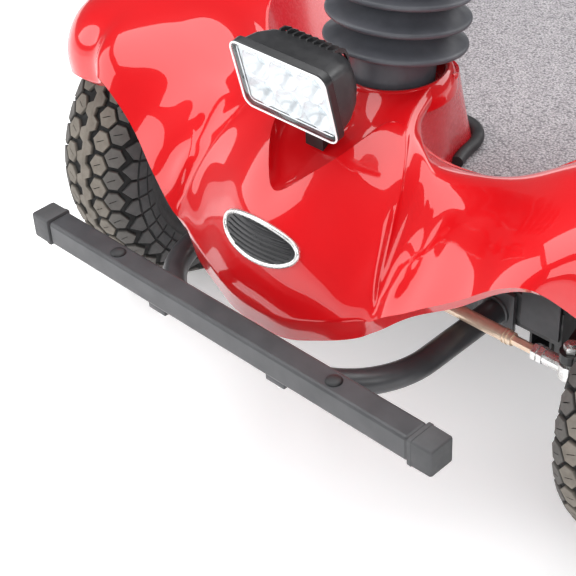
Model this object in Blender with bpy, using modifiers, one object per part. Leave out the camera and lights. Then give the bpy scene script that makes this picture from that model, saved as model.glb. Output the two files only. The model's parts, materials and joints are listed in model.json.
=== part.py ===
"""Front-steered rolling chassis of a small four-wheel electric scooter.

Steel frame with steered front wheels, moulded front cowl, tube bumper, lamp,
leaning steering column in a rubber boot, carpeted floor and a plain rear drive.

Sizes are in millimetres and are turned into metres when a mesh is made. Lengths along Y
are written from the front axle line; each object is then moved so that the model's origin
is on the ground, on the mid-plane, halfway between the bumper and the back of the rear tyres.
+Z is up, -Y is forward, +X is the left side.
"""

import math

import bmesh
import bpy
import numpy as np
from mathutils import Matrix, Vector
from mathutils.bvhtree import BVHTree

MM = 0.001
GAP = 0.3                       # clearance between neighbouring solids

# wheels
WHEEL_RADIUS = 160.0
WHEEL_WIDTH = 105.0
RIM_RADIUS = 78.0
WHEEL_SIDES = 24
FRONT_WHEEL_X = 318.7
REAR_WHEEL_X = 305.0
WHEELBASE = 960.0

# steering
STEER_Y = -36.0                 # steering shaft and kingpins share this line
KINGPIN_X = 238.0
ARM_X = 16.0                    # tie rod hole, sideways from its pivot
ARM_Y = -65.0                   # tie rod hole, forward of its pivot
TIE_ROD_Z = 202.0
TILT_Z = 343.0                  # tilt pivot of the tiller
LEAN = math.radians(9.0)        # tiller lean at rest

# frame
RAIL_X = 110.0
RAIL_WIDTH = 30.0
RAIL_Z = (150.0, 190.0)
BEAM_Y = (-51.0, -21.0)
BEAM_Z = (170.0, 206.0)
FLOOR_Z = 240.0
MAT_TOP = 254.0

# bumper
BUMPER_HALF = 248.5
BUMPER_Y = -257.5
BUMPER_Z = 209.7
BUMPER_SECTION = 25.0
CAP_SECTION = 28.0
CAP_LENGTH = 25.0
HOOP_RADIUS = 12.0
HOOP_Z = 180.0
HOOP_LEG_X = 142.0
HOOP_BEND = 90.0
HOOP_FRONT_Y = -238.0
TAB_X = 75.0                    # tabs that carry the beam on the hoop

# the model's origin, as a distance behind the front axle line
MIDDLE_Y = (BUMPER_Y - CAP_SECTION / 2 + WHEELBASE + WHEEL_RADIUS) / 2

# lamp
LAMP_CENTRE = (0.0, -138.0, 405.0)
LAMP_PIVOT = (0.0, -124.0, 361.0)
LAMP_FOOT_Z = 336.0             # bracket foot over the hood, below the pivot
LAMP_FOOT_SLOPE = math.radians(32.0)
LAMP_TILT = math.radians(12.4)  # the face looks slightly downward
LAMP_SIZE = (110.0, 50.0, 70.0)

# badge on the nose
BADGE_Z = 272.0
BADGE_HALF = (46.0, 19.0)
BADGE_GAP = 0.6
BADGE_THICK = 2.2

COLOURS = {
    "gloss_red": ((0.55, 0.012, 0.02, 1.0), 0.18, 0.0),
    "frame_black": ((0.02, 0.02, 0.022, 1.0), 0.45, 0.6),
    "bumper_black": ((0.03, 0.03, 0.035, 1.0), 0.4, 0.6),
    "cap_plastic": ((0.06, 0.06, 0.065, 1.0), 0.65, 0.0),
    "rubber_black": ((0.02, 0.02, 0.02, 1.0), 0.8, 0.0),
    "boot_rubber": ((0.045, 0.055, 0.07, 1.0), 0.6, 0.0),
    "tyre_rubber": ((0.05, 0.047, 0.045, 1.0), 0.85, 0.0),
    "rim_dark": ((0.05, 0.05, 0.055, 1.0), 0.4, 0.7),
    "zinc_gold": ((0.75, 0.6, 0.35, 1.0), 0.3, 0.95),
    "bright_steel": ((0.7, 0.7, 0.72, 1.0), 0.25, 1.0),
    "carpet": ((0.3, 0.29, 0.31, 1.0), 0.95, 0.0),
    "plastic_black": ((0.02, 0.02, 0.022, 1.0), 0.5, 0.0),
    "panel_grey": ((0.07, 0.07, 0.075, 1.0), 0.6, 0.0),
    "reflector": ((0.85, 0.85, 0.87, 1.0), 0.12, 1.0),
    "lens_clear": ((0.9, 0.92, 0.95, 0.35), 0.05, 0.0),
    "battery_grey": ((0.1, 0.1, 0.11, 1.0), 0.6, 0.0),
    "motor_grey": ((0.25, 0.25, 0.26, 1.0), 0.45, 0.7),
    "badge_dark": ((0.03, 0.03, 0.035, 1.0), 0.3, 0.5),
}


# ---------------------------------------------------------------- helpers

def clear_scene():
    for old in list(bpy.data.objects):
        bpy.data.objects.remove(old, do_unlink=True)


def new_collection(name):
    group = bpy.data.collections.new(name)
    bpy.context.scene.collection.children.link(group)
    return group


clear_scene()
PARTS = new_collection("rolling_chassis")
CUTTERS = new_collection("cutters")
TO_ORIGIN = Vector((0.0, -MIDDLE_Y * MM, 0.0))


def material(name):
    found = bpy.data.materials.get(name)
    if found:
        return found
    colour, roughness, metallic = COLOURS[name]
    made = bpy.data.materials.new(name)
    made.use_nodes = True
    shader = made.node_tree.nodes["Principled BSDF"]
    shader.inputs["Base Color"].default_value = colour
    shader.inputs["Roughness"].default_value = roughness
    shader.inputs["Metallic"].default_value = metallic
    return made


def vec(point):
    return Vector(point) * MM


def put(name, bm, finish, pivot=(0.0, 0.0, 0.0)):
    """Make an object from a bmesh given in metres, with its origin at the pivot."""
    bmesh.ops.translate(bm, vec=-vec(pivot), verts=bm.verts)
    mesh = bpy.data.meshes.new(name)
    bm.to_mesh(mesh)
    bm.free()
    obj = bpy.data.objects.new(name, mesh)
    obj.location = vec(pivot) + TO_ORIGIN
    PARTS.objects.link(obj)
    mesh.materials.append(material(finish))
    return obj


def box_bm(low, high):
    bm = bmesh.new()
    bmesh.ops.create_cube(bm, size=1.0)
    size = vec(high) - vec(low)
    bmesh.ops.scale(bm, vec=size, verts=bm.verts)
    bmesh.ops.translate(bm, vec=(vec(low) + vec(high)) / 2, verts=bm.verts)
    return bm


def rod_bm(start, end, radius, sides=14, end_radius=None):
    bm = bmesh.new()
    axis = vec(end) - vec(start)
    top = radius if end_radius is None else end_radius
    bmesh.ops.create_cone(bm, cap_ends=True, segments=sides, radius1=radius * MM,
                          radius2=top * MM, depth=axis.length)
    turn = axis.to_track_quat("Z", "Y").to_matrix().to_4x4()
    bmesh.ops.transform(bm, matrix=Matrix.Translation((vec(start) + vec(end)) / 2) @ turn,
                        verts=bm.verts)
    return bm


def turned_bm(profile, centre, axis="Z", sides=32, lean=0.0):
    """Solid of revolution from a (radius, height) profile, made by a Screw modifier."""
    mesh = bpy.data.meshes.new("profile")
    edges = [(step, step + 1) for step in range(len(profile) - 1)]
    if profile[0][0] > 0.0:
        edges.append((len(profile) - 1, 0))
    mesh.from_pydata([(radius * MM, 0.0, height * MM) for radius, height in profile], edges, [])
    holder = bpy.data.objects.new("profile", mesh)
    PARTS.objects.link(holder)
    screw = holder.modifiers.new("turn", "SCREW")
    screw.steps = sides
    screw.render_steps = sides
    screw.use_merge_vertices = True
    screw.merge_threshold = 1e-6
    bm = evaluated_bm(holder)
    turn = Matrix.Identity(4)
    if axis == "X":
        turn = Matrix.Rotation(math.radians(90), 4, "Y")
    if axis == "Y":
        turn = Matrix.Rotation(math.radians(-90), 4, "X")
    turn = Matrix.Rotation(-lean, 4, "X") @ turn
    bmesh.ops.transform(bm, matrix=Matrix.Translation(vec(centre)) @ turn, verts=bm.verts)
    return bm


def evaluated_bm(holder):
    """Closed bmesh of a helper object with its modifiers applied; the helper is removed."""
    graph = bpy.context.evaluated_depsgraph_get()
    graph.update()
    mesh = bpy.data.meshes.new_from_object(holder.evaluated_get(graph))
    bm = bmesh.new()
    bm.from_mesh(mesh)
    bmesh.ops.remove_doubles(bm, verts=bm.verts, dist=1e-6)
    bmesh.ops.recalc_face_normals(bm, faces=bm.faces)
    bpy.data.objects.remove(holder, do_unlink=True)
    bpy.data.meshes.remove(mesh)
    return bm


def cutter(bm):
    mesh = bpy.data.meshes.new("cutter")
    bm.to_mesh(mesh)
    bm.free()
    obj = bpy.data.objects.new("cutter", mesh)
    obj.location = TO_ORIGIN
    obj.hide_render = True
    obj.display_type = "WIRE"
    CUTTERS.objects.link(obj)
    return obj


def apply_modifiers(obj):
    graph = bpy.context.evaluated_depsgraph_get()
    graph.update()
    done = bpy.data.meshes.new_from_object(obj.evaluated_get(graph))
    obj.modifiers.clear()
    obj.data = done


def combine(obj, pieces, operation="UNION"):
    """Union or subtract a list of bmeshes in world space, then bake the result."""
    tools = [cutter(piece) for piece in pieces]
    for tool in tools:
        step = obj.modifiers.new("combine", "BOOLEAN")
        step.operation = operation
        step.solver = "EXACT"
        step.object = tool
    apply_modifiers(obj)
    for tool in tools:
        bpy.data.objects.remove(tool, do_unlink=True)
    return obj


def rounded(obj, width, segments=2, angle=40.0):
    edge = obj.modifiers.new("bevel", "BEVEL")
    edge.width = width * MM
    edge.segments = segments
    edge.limit_method = "ANGLE"
    edge.angle_limit = math.radians(angle)
    apply_modifiers(obj)
    return obj


def smooth(obj, angle=35.0):
    obj.data.shade_smooth()
    obj.data.set_sharp_from_angle(angle=math.radians(angle))
    return obj


def tube_bm(points, radius, sides=2):
    """Round bar along a path, from a bevelled poly curve with filled ends."""
    curve = bpy.data.curves.new("path", "CURVE")
    curve.dimensions = "3D"
    curve.bevel_depth = radius * MM
    curve.bevel_resolution = sides
    curve.use_fill_caps = True
    line = curve.splines.new("POLY")
    line.points.add(len(points) - 1)
    for knot, point in zip(line.points, points):
        knot.co = (*vec(point), 1.0)
    holder = bpy.data.objects.new("path", curve)
    PARTS.objects.link(holder)
    return evaluated_bm(holder)


def arc(centre, radius, start, end, steps, z):
    """Points of a level arc; angles in degrees from +X."""
    cx, cy = centre
    points = []
    for step in range(steps + 1):
        angle = math.radians(start + (end - start) * step / steps)
        points.append((cx + radius * math.cos(angle), cy + radius * math.sin(angle), z))
    return points


def sides():
    return (("l", 1.0), ("r", -1.0))


# ---------------------------------------------------------------- frame

def frame_weldment():
    """Rails, axle beam, kingpin yokes, column tower, bearers and rear bridge."""
    beam_end = KINGPIN_X - 27.0
    obj = put("frame_weldment", box_bm((-beam_end, BEAM_Y[0], BEAM_Z[0]),
                                       (beam_end, BEAM_Y[1], BEAM_Z[1])), "frame_black")
    adds = []
    for _, side in sides():
        def bar(x0, x1, y0, y1, z0, z1):
            low = (min(side * x0, side * x1), y0, z0)
            high = (max(side * x0, side * x1), y1, z1)
            adds.append(box_bm(low, high))
        inner = RAIL_X - RAIL_WIDTH / 2
        outer = RAIL_X + RAIL_WIDTH / 2
        bar(inner, outer, -45.0, 870.0, *RAIL_Z)
        # yoke: back plate and two ears round the kingpin
        bar(beam_end - 8.0, beam_end, -50.0, -22.0, 141.0, 231.0)
        bar(beam_end - 4.0, KINGPIN_X + 14.0, STEER_Y - 14, STEER_Y + 14, 141.0, 149.0)
        bar(beam_end - 4.0, KINGPIN_X + 14.0, STEER_Y - 14, STEER_Y + 14, 223.0, 231.0)
        # outrigger tube under the beam, open at the front
        bar(173.0, 197.0, -45.4, 90.0, 150.0, 172.0)
        # column tower
        bar(27.0, 33.0, -34.0, -6.0, 200.0, 300.0)
        # rear arms over the transaxle, and seat bridge uprights
        bar(inner, outer, 845.0, 1000.0, 188.5, 212.0)
        bar(inner, outer, 790.0, 820.0, 185.0, 385.0)
    adds.append(box_bm((-33, -58, 272), (33, -2, 300)))
    adds.append(box_bm((-197, 60, 160), (197, 90, 189)))
    adds.append(box_bm((-180, 62, 180), (180, 88, FLOOR_Z - GAP)))
    for y in (300.0, 500.0):
        adds.append(box_bm((-235, y, 180), (235, y + 28, FLOOR_Z - GAP)))
    adds.append(box_bm((-125, 560, 186), (125, 580, 192)))
    adds.append(box_bm((-205, 574, 188), (205, 716, 194)))
    adds.append(box_bm((-125, 790, 357), (125, 820, 387)))
    adds.append(box_bm((-55, 815, 262), (55, 925, 267)))
    adds.append(box_bm((-125, 794, 255), (125, 816, 275)))
    adds.append(rod_bm((0, 805, 330), (0, 805, 440), 30.0, 32))
    combine(obj, adds)
    cuts = [rod_bm((0, STEER_Y, 160), (0, STEER_Y, 320), 15.0, 24),
            rod_bm((0, 805, 395), (0, 805, 450), 25.2, 32)]
    for _, side in sides():
        cuts.append(rod_bm((side * KINGPIN_X, STEER_Y, 130),
                           (side * KINGPIN_X, STEER_Y, 240), 8.4, 16))
        low = (min(side * 175.5, side * 194.5), -60.0, 152.5)
        high = (max(side * 175.5, side * 194.5), 55.0, 168.0)
        cuts.append(box_bm(low, high))
    return combine(obj, cuts, "DIFFERENCE")


def bushes():
    for name, z0, z1 in (("column_bush_lower", 168.0, 208.0), ("column_bush_upper", 270.0, 302.0)):
        profile = [(11.3, z0), (14.7, z0), (14.7, z1 - 2), (14.7, z1), (11.3, z1)]
        smooth(put(name, turned_bm(profile, (0, STEER_Y, 0), sides=24), "plastic_black"))


# ---------------------------------------------------------------- bumper

def bumper():
    half = BUMPER_SECTION / 2
    inside = BUMPER_HALF - CAP_LENGTH
    beam = put("bumper_beam", box_bm((-inside, BUMPER_Y - half, BUMPER_Z - half),
                                     (inside, BUMPER_Y + half, BUMPER_Z + half)), "bumper_black")
    rounded(beam, 3.0, 2)
    cuts = [rod_bm((s * TAB_X, BUMPER_Y, 190), (s * TAB_X, BUMPER_Y, 217), 4.5, 12)
            for s in (1, -1)]
    cuts += [rod_bm((s * 135, BUMPER_Y, 215), (s * 135, BUMPER_Y, 230), 5.5, 16)
             for s in (1, -1)]
    combine(beam, cuts, "DIFFERENCE")
    hoop()
    big = CAP_SECTION / 2
    for tag, side in sides():
        x0, x1 = sorted((side * (inside + GAP), side * BUMPER_HALF))
        cap = put("bumper_cap_" + tag, box_bm((x0, BUMPER_Y - big, BUMPER_Z - big),
                                             (x1, BUMPER_Y + big, BUMPER_Z + big)), "cap_plastic")
        rounded(cap, 2.0, 2)
        plug = [(0, 6.0), (5.0, 6.0), (5.0, half + GAP), (7.5, half + GAP),
                (7.2, half + 1.4), (4.5, half + 2.8), (0, half + 3.2)]
        smooth(put("beam_plug_" + tag, turned_bm(plug, (side * 135, BUMPER_Y, BUMPER_Z),
                                                 sides=16), "rubber_black"))


def hoop():
    """Bent tube behind the beam, with two tabs under it; the legs run back to flanges."""
    turn_x = HOOP_LEG_X - HOOP_BEND
    turn_y = HOOP_FRONT_Y + HOOP_BEND
    path = arc((-turn_x, turn_y), HOOP_BEND, 180, 270, 8, HOOP_Z)
    path += arc((turn_x, turn_y), HOOP_BEND, 270, 360, 8, HOOP_Z)
    path = [(-HOOP_LEG_X, -54.0, HOOP_Z)] + path + [(HOOP_LEG_X, -54.0, HOOP_Z)]
    obj = put("bumper_hoop", tube_bm(path, HOOP_RADIUS, 2), "bumper_black")
    beam_foot = BUMPER_Z - BUMPER_SECTION / 2 - GAP
    plates = []
    holes = []
    for _, side in sides():
        x0, x1 = sorted((side * (HOOP_LEG_X - 20), side * (HOOP_LEG_X + 20)))
        plates.append(box_bm((x0, -56.3, 163), (x1, BEAM_Y[0] - GAP, 204)))
        x0, x1 = sorted((side * (TAB_X - 11), side * (TAB_X + 11)))
        plates.append(box_bm((x0, BUMPER_Y - 10, 190.5), (x1, HOOP_FRONT_Y + 4, beam_foot)))
        holes.append(rod_bm((side * TAB_X, BUMPER_Y, 180), (side * TAB_X, BUMPER_Y, 200), 4.5, 12))
    combine(obj, plates)
    combine(obj, holes, "DIFFERENCE")
    smooth(obj)
    for tag, side in sides():
        centre = (side * TAB_X, BUMPER_Y)
        bolt = put("beam_bolt_" + tag, rod_bm((*centre, 186), (*centre, 215), 4.0, 12),
                   "bright_steel")
        combine(bolt, [rod_bm((*centre, 184.5), (*centre, 190.5 - GAP), 6.5, 6)])


# ---------------------------------------------------------------- cowl

# Half cowl as front-to-back lines from the mid-plane outwards. In each line: lower edge,
# lip, two points up the panel, wing ridge, hood crease, three points over the top, rear edge.
COWL_LINES = [
    [(0, -213, 181), (0, -218, 205), (0, -216, 232), (0, -212, 262), (0, -203, 291), (0, -184, 311),
     (0, -168, 311), (0, -140, 323), (0, -108, 343), (0, -80, 365)],
    [(31, -212, 183), (31, -217, 208), (32, -214, 234), (32, -208, 264), (29, -195, 298),
     (21, -169, 325), (17, -160, 318), (18, -136, 329), (19, -106, 345), (18.7, -76.4, 366)],
    [(61, -207, 193), (63, -211, 218), (65, -206, 240), (66, -197, 266), (60, -174, 307),
     (43, -136, 346), (37, -129, 339), (35, -113, 345), (36, -92, 354), (37, -63.5, 366)],
    [(88, -202, 205), (92, -204, 230), (96, -197, 248), (97, -184, 272), (90, -153, 318),
     (60, -105, 354), (55, -90, 357), (58, -88, 356), (52, -68, 361), (48.5, -44, 366)],
    [(104, -195, 212), (109, -199, 237), (111, -193, 252), (111, -182, 273), (106, -161, 301),
     (96, -132, 330), (82, -108, 346), (68, -88, 353), (56, -62, 359), (49, -24, 365)],
    [(113, -190, 218), (121, -198, 240), (122, -195, 246), (121, -191, 251), (119, -186, 257),
     (112, -164, 287), (98, -126, 327), (80, -98, 345), (60, -64, 354), (46, 0, 360)],
    [(125, -188, 228), (133, -197, 250), (133, -189, 260), (131, -180, 271), (129, -171, 279),
     (120, -151, 293), (107, -121, 320), (89, -97, 339), (65, -71, 346), (48, -30, 351)],
    [(143, -186, 245), (149, -192, 259), (147, -179, 271), (144, -166, 283), (140, -154, 292),
     (131, -138, 301), (117, -116, 321), (97, -96, 334), (72, -76, 339), (46, -51, 342)],
    [(162, -179, 258), (168, -186, 271), (165, -169, 287), (159, -150, 301), (152, -132, 312),
     (142, -118, 317), (127, -104, 324), (105, -90, 328), (80, -76, 326), (54, -60, 325)],
    [(188, -169, 272), (195, -176, 287), (192, -156, 306), (185, -134, 319), (177, -114, 327),
     (167, -100, 328), (152, -88, 327), (132, -76, 324), (108, -66, 318), (84, -54, 309)],
    [(217, -163, 295), (221, -172, 307), (219, -154, 325), (214, -130, 338), (207, -106, 343),
     (198, -90, 343), (186, -76, 340), (170, -62, 334), (150, -50, 322), (128, -37, 304)],
    [(243, -161, 311), (247, -169, 321), (246, -155, 337), (243, -130, 349), (238, -100, 355),
     (231, -78, 356), (221, -60, 355), (207, -46, 351), (188, -33, 340), (168, -21, 321)],
    [(263, -155, 311), (266, -161, 317), (268, -155, 335), (269, -134, 350), (267, -100, 358),
     (262, -66, 361), (254, -38, 361), (243, -16, 359), (227, 0, 354), (206, 15, 344)],
    [(284, -139, 290), (285, -144, 295), (287, -145, 318), (289, -132, 343), (290, -100, 357),
     (288, -50, 362), (281, 0, 361), (270, 40, 359), (256, 66, 355), (238, 88, 346)],
    [(312, -141, 287), (312, -146, 292), (313, -145, 316), (315, -130, 342), (316, -94, 356),
     (315, -36, 361), (309, 24, 360), (297, 84, 353), (278, 126, 341), (252, 158, 322)],
    [(341, -132, 281), (342, -137, 286), (343, -136, 312), (344, -118, 339), (344, -80, 353),
     (342, -20, 358), (338, 46, 356), (330, 110, 342), (318, 160, 318), (304, 194, 291)],
    [(366, -112, 265), (368, -116, 270), (370, -113, 300), (370, -96, 326), (368, -60, 342),
     (366, -8, 348), (364, 50, 346), (360, 110, 331), (355, 156, 306), (350, 188, 277)],
    [(376, -104, 265), (379, -105, 270), (384, -86, 289), (387, -58, 303), (388, -22, 311),
     (388, 20, 314), (388, 66, 312), (384, 112, 302), (376, 156, 284), (364, 188, 266)],
]
LIP_POINT = 1
RIDGE_POINT = 4
HOOD_POINT = 5
RIDGE_SHARPNESS = {5: 0.8, 6: 1.0, 7: 1.0, 8: 0.7}      # by line
HOOD_SHARPNESS = {0: 0.9, 1: 1.0, 2: 1.0, 3: 0.35}
COWL_WALL = 3.0

# Footwell wall and column housing as (top, foot) pairs, from behind the column outwards.
FOOT_Z = MAT_TOP + 2.4
WALL_LINES = [
    ((0, 24, 356), (0, 68)), ((30, 18, 356), (20, 55)), ((44, -2, 357), (26, 30)),
    ((48, -16, 355), (32, 10)), ((48.5, -33, 350), (40, -12)), ((47, -51, 342), (46, -36)),
    ((54, -60, 324), (60, -48)), ((84, -54, 308), (86, -46)), ((128, -37, 303), (128, -30)),
    ((168, -21, 320), (158, -10)), ((206, 15, 343), (172, 22)), ((238, 88, 345), (176, 88)),
    ((250, 150, 324), (176, 150)),
]
COLLAR_CENTRE = (0.0, -30.0, 0.0)


def spline(knots, values, places):
    """Natural cubic spline through values (first axis) at knots, read at places."""
    gaps = np.diff(knots)
    system = np.eye(len(knots))
    right = np.zeros_like(values)
    for k in range(1, len(knots) - 1):
        system[k, k - 1:k + 2] = gaps[k - 1], 2 * (gaps[k - 1] + gaps[k]), gaps[k]
        right[k] = 6 * ((values[k + 1] - values[k]) / gaps[k]
                        - (values[k] - values[k - 1]) / gaps[k - 1])
    bends = np.linalg.solve(system, right.reshape(len(knots), -1)).reshape(values.shape)
    out = []
    for place in places:
        k = min(max(int(np.searchsorted(knots, place)) - 1, 0), len(knots) - 2)
        a = (knots[k + 1] - place) / gaps[k]
        b = 1 - a
        bend = (a ** 3 - a) * bends[k] + (b ** 3 - b) * bends[k + 1]
        out.append(a * values[k] + b * values[k + 1] + bend * gaps[k] ** 2 / 6)
    return np.array(out)


def knots_of(points, axis):
    """Spline knots from the mean chord length between neighbours along an axis."""
    chords = np.sqrt((np.diff(points, axis=axis) ** 2).sum(-1)).mean(1 - axis)
    return np.concatenate([[0.0], np.cumsum(np.sqrt(chords))])


def spread(knots, count):
    """Places that cut each span between knots into count equal steps."""
    steps = [a + (b - a) * s / count for a, b in zip(knots, knots[1:]) for s in range(count)]
    return np.array(steps + [knots[-1]])


def creased(knots, values, places, breaks):
    """Spline that may turn sharply at the knots numbered in breaks."""
    ends = [0] + breaks + [len(knots) - 1]
    out = np.zeros((len(places),) + values.shape[1:])
    for a, b in zip(ends, ends[1:]):
        inside = (places >= knots[a] - 1e-9) & (places <= knots[b] + 1e-9)
        out[inside] = spline(knots[a:b + 1], values[a:b + 1], places[inside])
    return out


def cowl_grid(along, across):
    """Cowl surface points, lines x points x 3, with along and across steps per span."""
    table = np.array(COWL_LINES, float)
    knots = knots_of(table, 0)
    mirrored = table[2:0:-1] * np.array([-1, 1, 1])
    places = spread(knots, along)
    lines = spline(np.concatenate([-knots[2:0:-1], knots]),
                   np.concatenate([mirrored, table]), places).transpose(1, 0, 2)
    rows = knots_of(table, 1)
    steps = spread(rows, across)
    grid = creased(rows, lines, steps, [LIP_POINT])
    sharpened = grid.copy()
    for point, marks in ((RIDGE_POINT, RIDGE_SHARPNESS), (HOOD_POINT, HOOD_SHARPNESS)):
        weights = [marks.get(line, 0.0) for line in range(len(table))]
        share = np.interp(places, knots, weights)[None, :, None]
        sharpened += (creased(rows, lines, steps, [LIP_POINT, point]) - grid) * share
    return sharpened.transpose(1, 0, 2)


def skin_bm(rows):
    """Quad skin through equal-length rows of points, mirrored about the mid-plane."""
    bm = bmesh.new()
    grid = [[bm.verts.new(vec(point)) for point in row] for row in rows]
    for left, right in zip(grid, grid[1:]):
        for step in range(len(left) - 1):
            bm.faces.new((left[step], left[step + 1], right[step + 1], right[step]))
    bmesh.ops.mirror(bm, geom=bm.verts[:] + bm.edges[:] + bm.faces[:],
                     merge_dist=1e-5, axis="X")
    bmesh.ops.recalc_face_normals(bm, faces=bm.faces)
    return bm


def shell_bm(skin, thickness):
    """Closed shell from an open skin, with its thickness on the inner side."""
    mesh = bpy.data.meshes.new("skin")
    skin.to_mesh(mesh)
    skin.free()
    holder = bpy.data.objects.new("skin", mesh)
    PARTS.objects.link(holder)
    wall = holder.modifiers.new("thickness", "SOLIDIFY")
    wall.thickness = thickness * MM
    wall.offset = -1.0
    return evaluated_bm(holder)


def wall_rows():
    """Rows of the footwell wall, top to foot, bulging a little between them."""
    rows = []
    for top, foot in WALL_LINES:
        low = np.array((*foot, FOOT_Z))
        rows.append([np.array(top) * (1 - share) + low * share for share in (0, 0.34, 0.67, 1)])
    return rows


def front_cowl():
    """Moulded front body: wings, nose and hood, collar, footwell wall and column housing."""
    obj = put("front_cowl", shell_bm(skin_bm(cowl_grid(2, 1)), COWL_WALL), "gloss_red")
    collar = [(45, 345), (57, 345), (57, 354), (52, 365), (49, 366.5), (45, 365)]
    wall = shell_bm(skin_bm(wall_rows()), COWL_WALL)
    combine(obj, [turned_bm(collar, COLLAR_CENTRE, sides=36), wall])
    return smooth(obj)


def on_nose(x, z):
    """Point and outward normal of the nose skin, seen from the front at (x, z)."""
    bm = skin_bm(cowl_grid(4, 4))
    tree = BVHTree.FromBMesh(bm)
    bm.free()
    points = []
    for px, pz in zip(x, z):
        place, normal = tree.ray_cast(vec((px, -400, pz)), Vector((0, 1, 0)))[:2]
        points.append((place, normal if normal.y < 0 else -normal))
    return points


def badge():
    """Plain oval plate that follows the nose."""
    sides_round = 24
    spots = [(0.0, BADGE_Z)]
    for ring in (0.5, 1.0):
        for step in range(sides_round):
            angle = math.tau * step / sides_round
            spots.append((ring * BADGE_HALF[0] * math.cos(angle),
                          BADGE_Z + ring * BADGE_HALF[1] * math.sin(angle)))
    found = on_nose(*zip(*spots))
    bm = bmesh.new()
    verts = [bm.verts.new(place + normal * (BADGE_GAP * MM)) for place, normal in found]
    for step in range(sides_round):
        after = (step + 1) % sides_round
        bm.faces.new((verts[0], verts[1 + step], verts[1 + after]))
        outer = 1 + sides_round
        bm.faces.new((verts[1 + step], verts[outer + step], verts[outer + after],
                      verts[1 + after]))
    bmesh.ops.recalc_face_normals(bm, faces=bm.faces)
    plate = shell_bm(bm, -BADGE_THICK)
    smooth(put("badge_plate", plate, "badge_dark"))


# ---------------------------------------------------------------- floor

def floor_outline(inset, front):
    """Half outline of the floor: narrow between the front wheels, wide behind them."""
    narrow = 186.0 - inset
    wide = 240.0 - inset
    rear = 545.0 - inset
    return [(0, front), (narrow, front), (narrow, 165), (narrow + 8, 190), (wide - 14, 232),
            (wide, 252), (wide, rear - 20), (wide - 20, rear), (0, rear)]


def slab_bm(half_outline, z0, z1):
    """Level slab with a half outline mirrored about the mid-plane."""
    mirrored = [(-x, y) for x, y in reversed(half_outline) if x > 0]
    bm = bmesh.new()
    verts = [bm.verts.new(vec((x, y, z0))) for x, y in half_outline + mirrored]
    base = bm.faces.new(verts)
    grown = bmesh.ops.extrude_face_region(bm, geom=[base])
    tops = [item for item in grown["geom"] if isinstance(item, bmesh.types.BMVert)]
    bmesh.ops.translate(bm, vec=(0, 0, (z1 - z0) * MM), verts=tops)
    bmesh.ops.recalc_face_normals(bm, faces=bm.faces)
    return bm


def housing_outline(grow):
    """Half outline at the foot of the column housing, moved outwards by grow."""
    feet = [Vector(foot) for _, foot in WALL_LINES[:5]]
    out = []
    for before, here, after in zip([feet[0]] + feet, feet, feet[1:] + [feet[-1]]):
        run = (after - before).normalized()
        step = Vector((-run.y, run.x)) if here.x > 0 else Vector((0, 1))
        out.append(here + step * grow)
    return [(point.x, point.y) for point in out]


def floor():
    """Pan and carpet with a hole for the column, and the rubber ring round the housing."""
    hole = [(0, -120)] + [(44, -120)] + housing_outline(-1.5)[::-1]
    pan = put("floor_pan", slab_bm(floor_outline(0, -18.0), FLOOR_Z, FLOOR_Z + 4), "panel_grey")
    combine(pan, [slab_bm(hole, 200, 300)], "DIFFERENCE")
    mat = put("floor_mat", slab_bm(floor_outline(6.0, -14.0), FLOOR_Z + 4 + GAP, MAT_TOP), "carpet")
    combine(mat, [slab_bm(hole, 200, 300)], "DIFFERENCE")
    bead = 6.0
    half = housing_outline(bead + 1.5)[:4]
    loop = [(-x, y) for x, y in half[:0:-1]] + half
    path = [(x, y, MAT_TOP + bead + GAP) for x, y in loop]
    smooth(put("column_grommet", tube_bm(path, bead, 2), "rubber_black"))
    for tag, side in sides():
        x0, x1 = sorted((side * 168.0, side * 209.0))
        put("splash_guard_" + tag, box_bm((x0, -53.6, 176), (x1, -51.3, 292)), "panel_grey")


# ---------------------------------------------------------------- steering

def steering_column():
    shaft = put("steering_shaft", rod_bm((0, STEER_Y, 168), (0, STEER_Y, 322), 11.0, 24),
                "bright_steel", (0, STEER_Y, 168))
    fork = [box_bm((-16, STEER_Y - 12, 318), (16, STEER_Y + 12, 328))]
    for side in (1, -1):
        x0, x1 = sorted((side * 11.0, side * 16.0))
        fork.append(box_bm((x0, STEER_Y - 12, 320), (x1, STEER_Y + 12, 352)))
    plate = [(0, STEER_Y + 17), (13, STEER_Y + 11), (17, STEER_Y - 4),
             (ARM_X + 11, STEER_Y + ARM_Y + 4), (ARM_X + 7, STEER_Y + ARM_Y - 9),
             (ARM_X - 4, STEER_Y + ARM_Y - 10), (0, STEER_Y + ARM_Y - 4)]
    combine(shaft, fork + [slab_bm(plate, 212.5, 221.5)])
    holes = [rod_bm((-30, STEER_Y, TILT_Z), (30, STEER_Y, TILT_Z), 4.3, 16)]
    for side in (1, -1):
        spot = (side * ARM_X, STEER_Y + ARM_Y)
        holes.append(rod_bm((*spot, 205), (*spot, 230), 4.4, 16))
    combine(shaft, holes, "DIFFERENCE")
    pin = put("tilt_pin", rod_bm((-19, STEER_Y, TILT_Z), (19, STEER_Y, TILT_Z), 4.0, 16),
              "bright_steel", (0, STEER_Y, TILT_Z))
    heads = [rod_bm((16.3, STEER_Y, TILT_Z), (21, STEER_Y, TILT_Z), 7.0, 6),
             rod_bm((-21, STEER_Y, TILT_Z), (-16.3, STEER_Y, TILT_Z), 7.0, 6)]
    combine(pin, heads)


def lean_point(distance):
    """Point on the leaning tiller axis, at a distance above the tilt pivot."""
    return (0, STEER_Y + distance * math.sin(LEAN), TILT_Z + distance * math.cos(LEAN))


BOOT_RINGS = 5
BOOT_FIRST = 48.0               # first ring, above the tilt pivot
BOOT_PITCH = 24.0
BOOT_WAIST = 48.0


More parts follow.
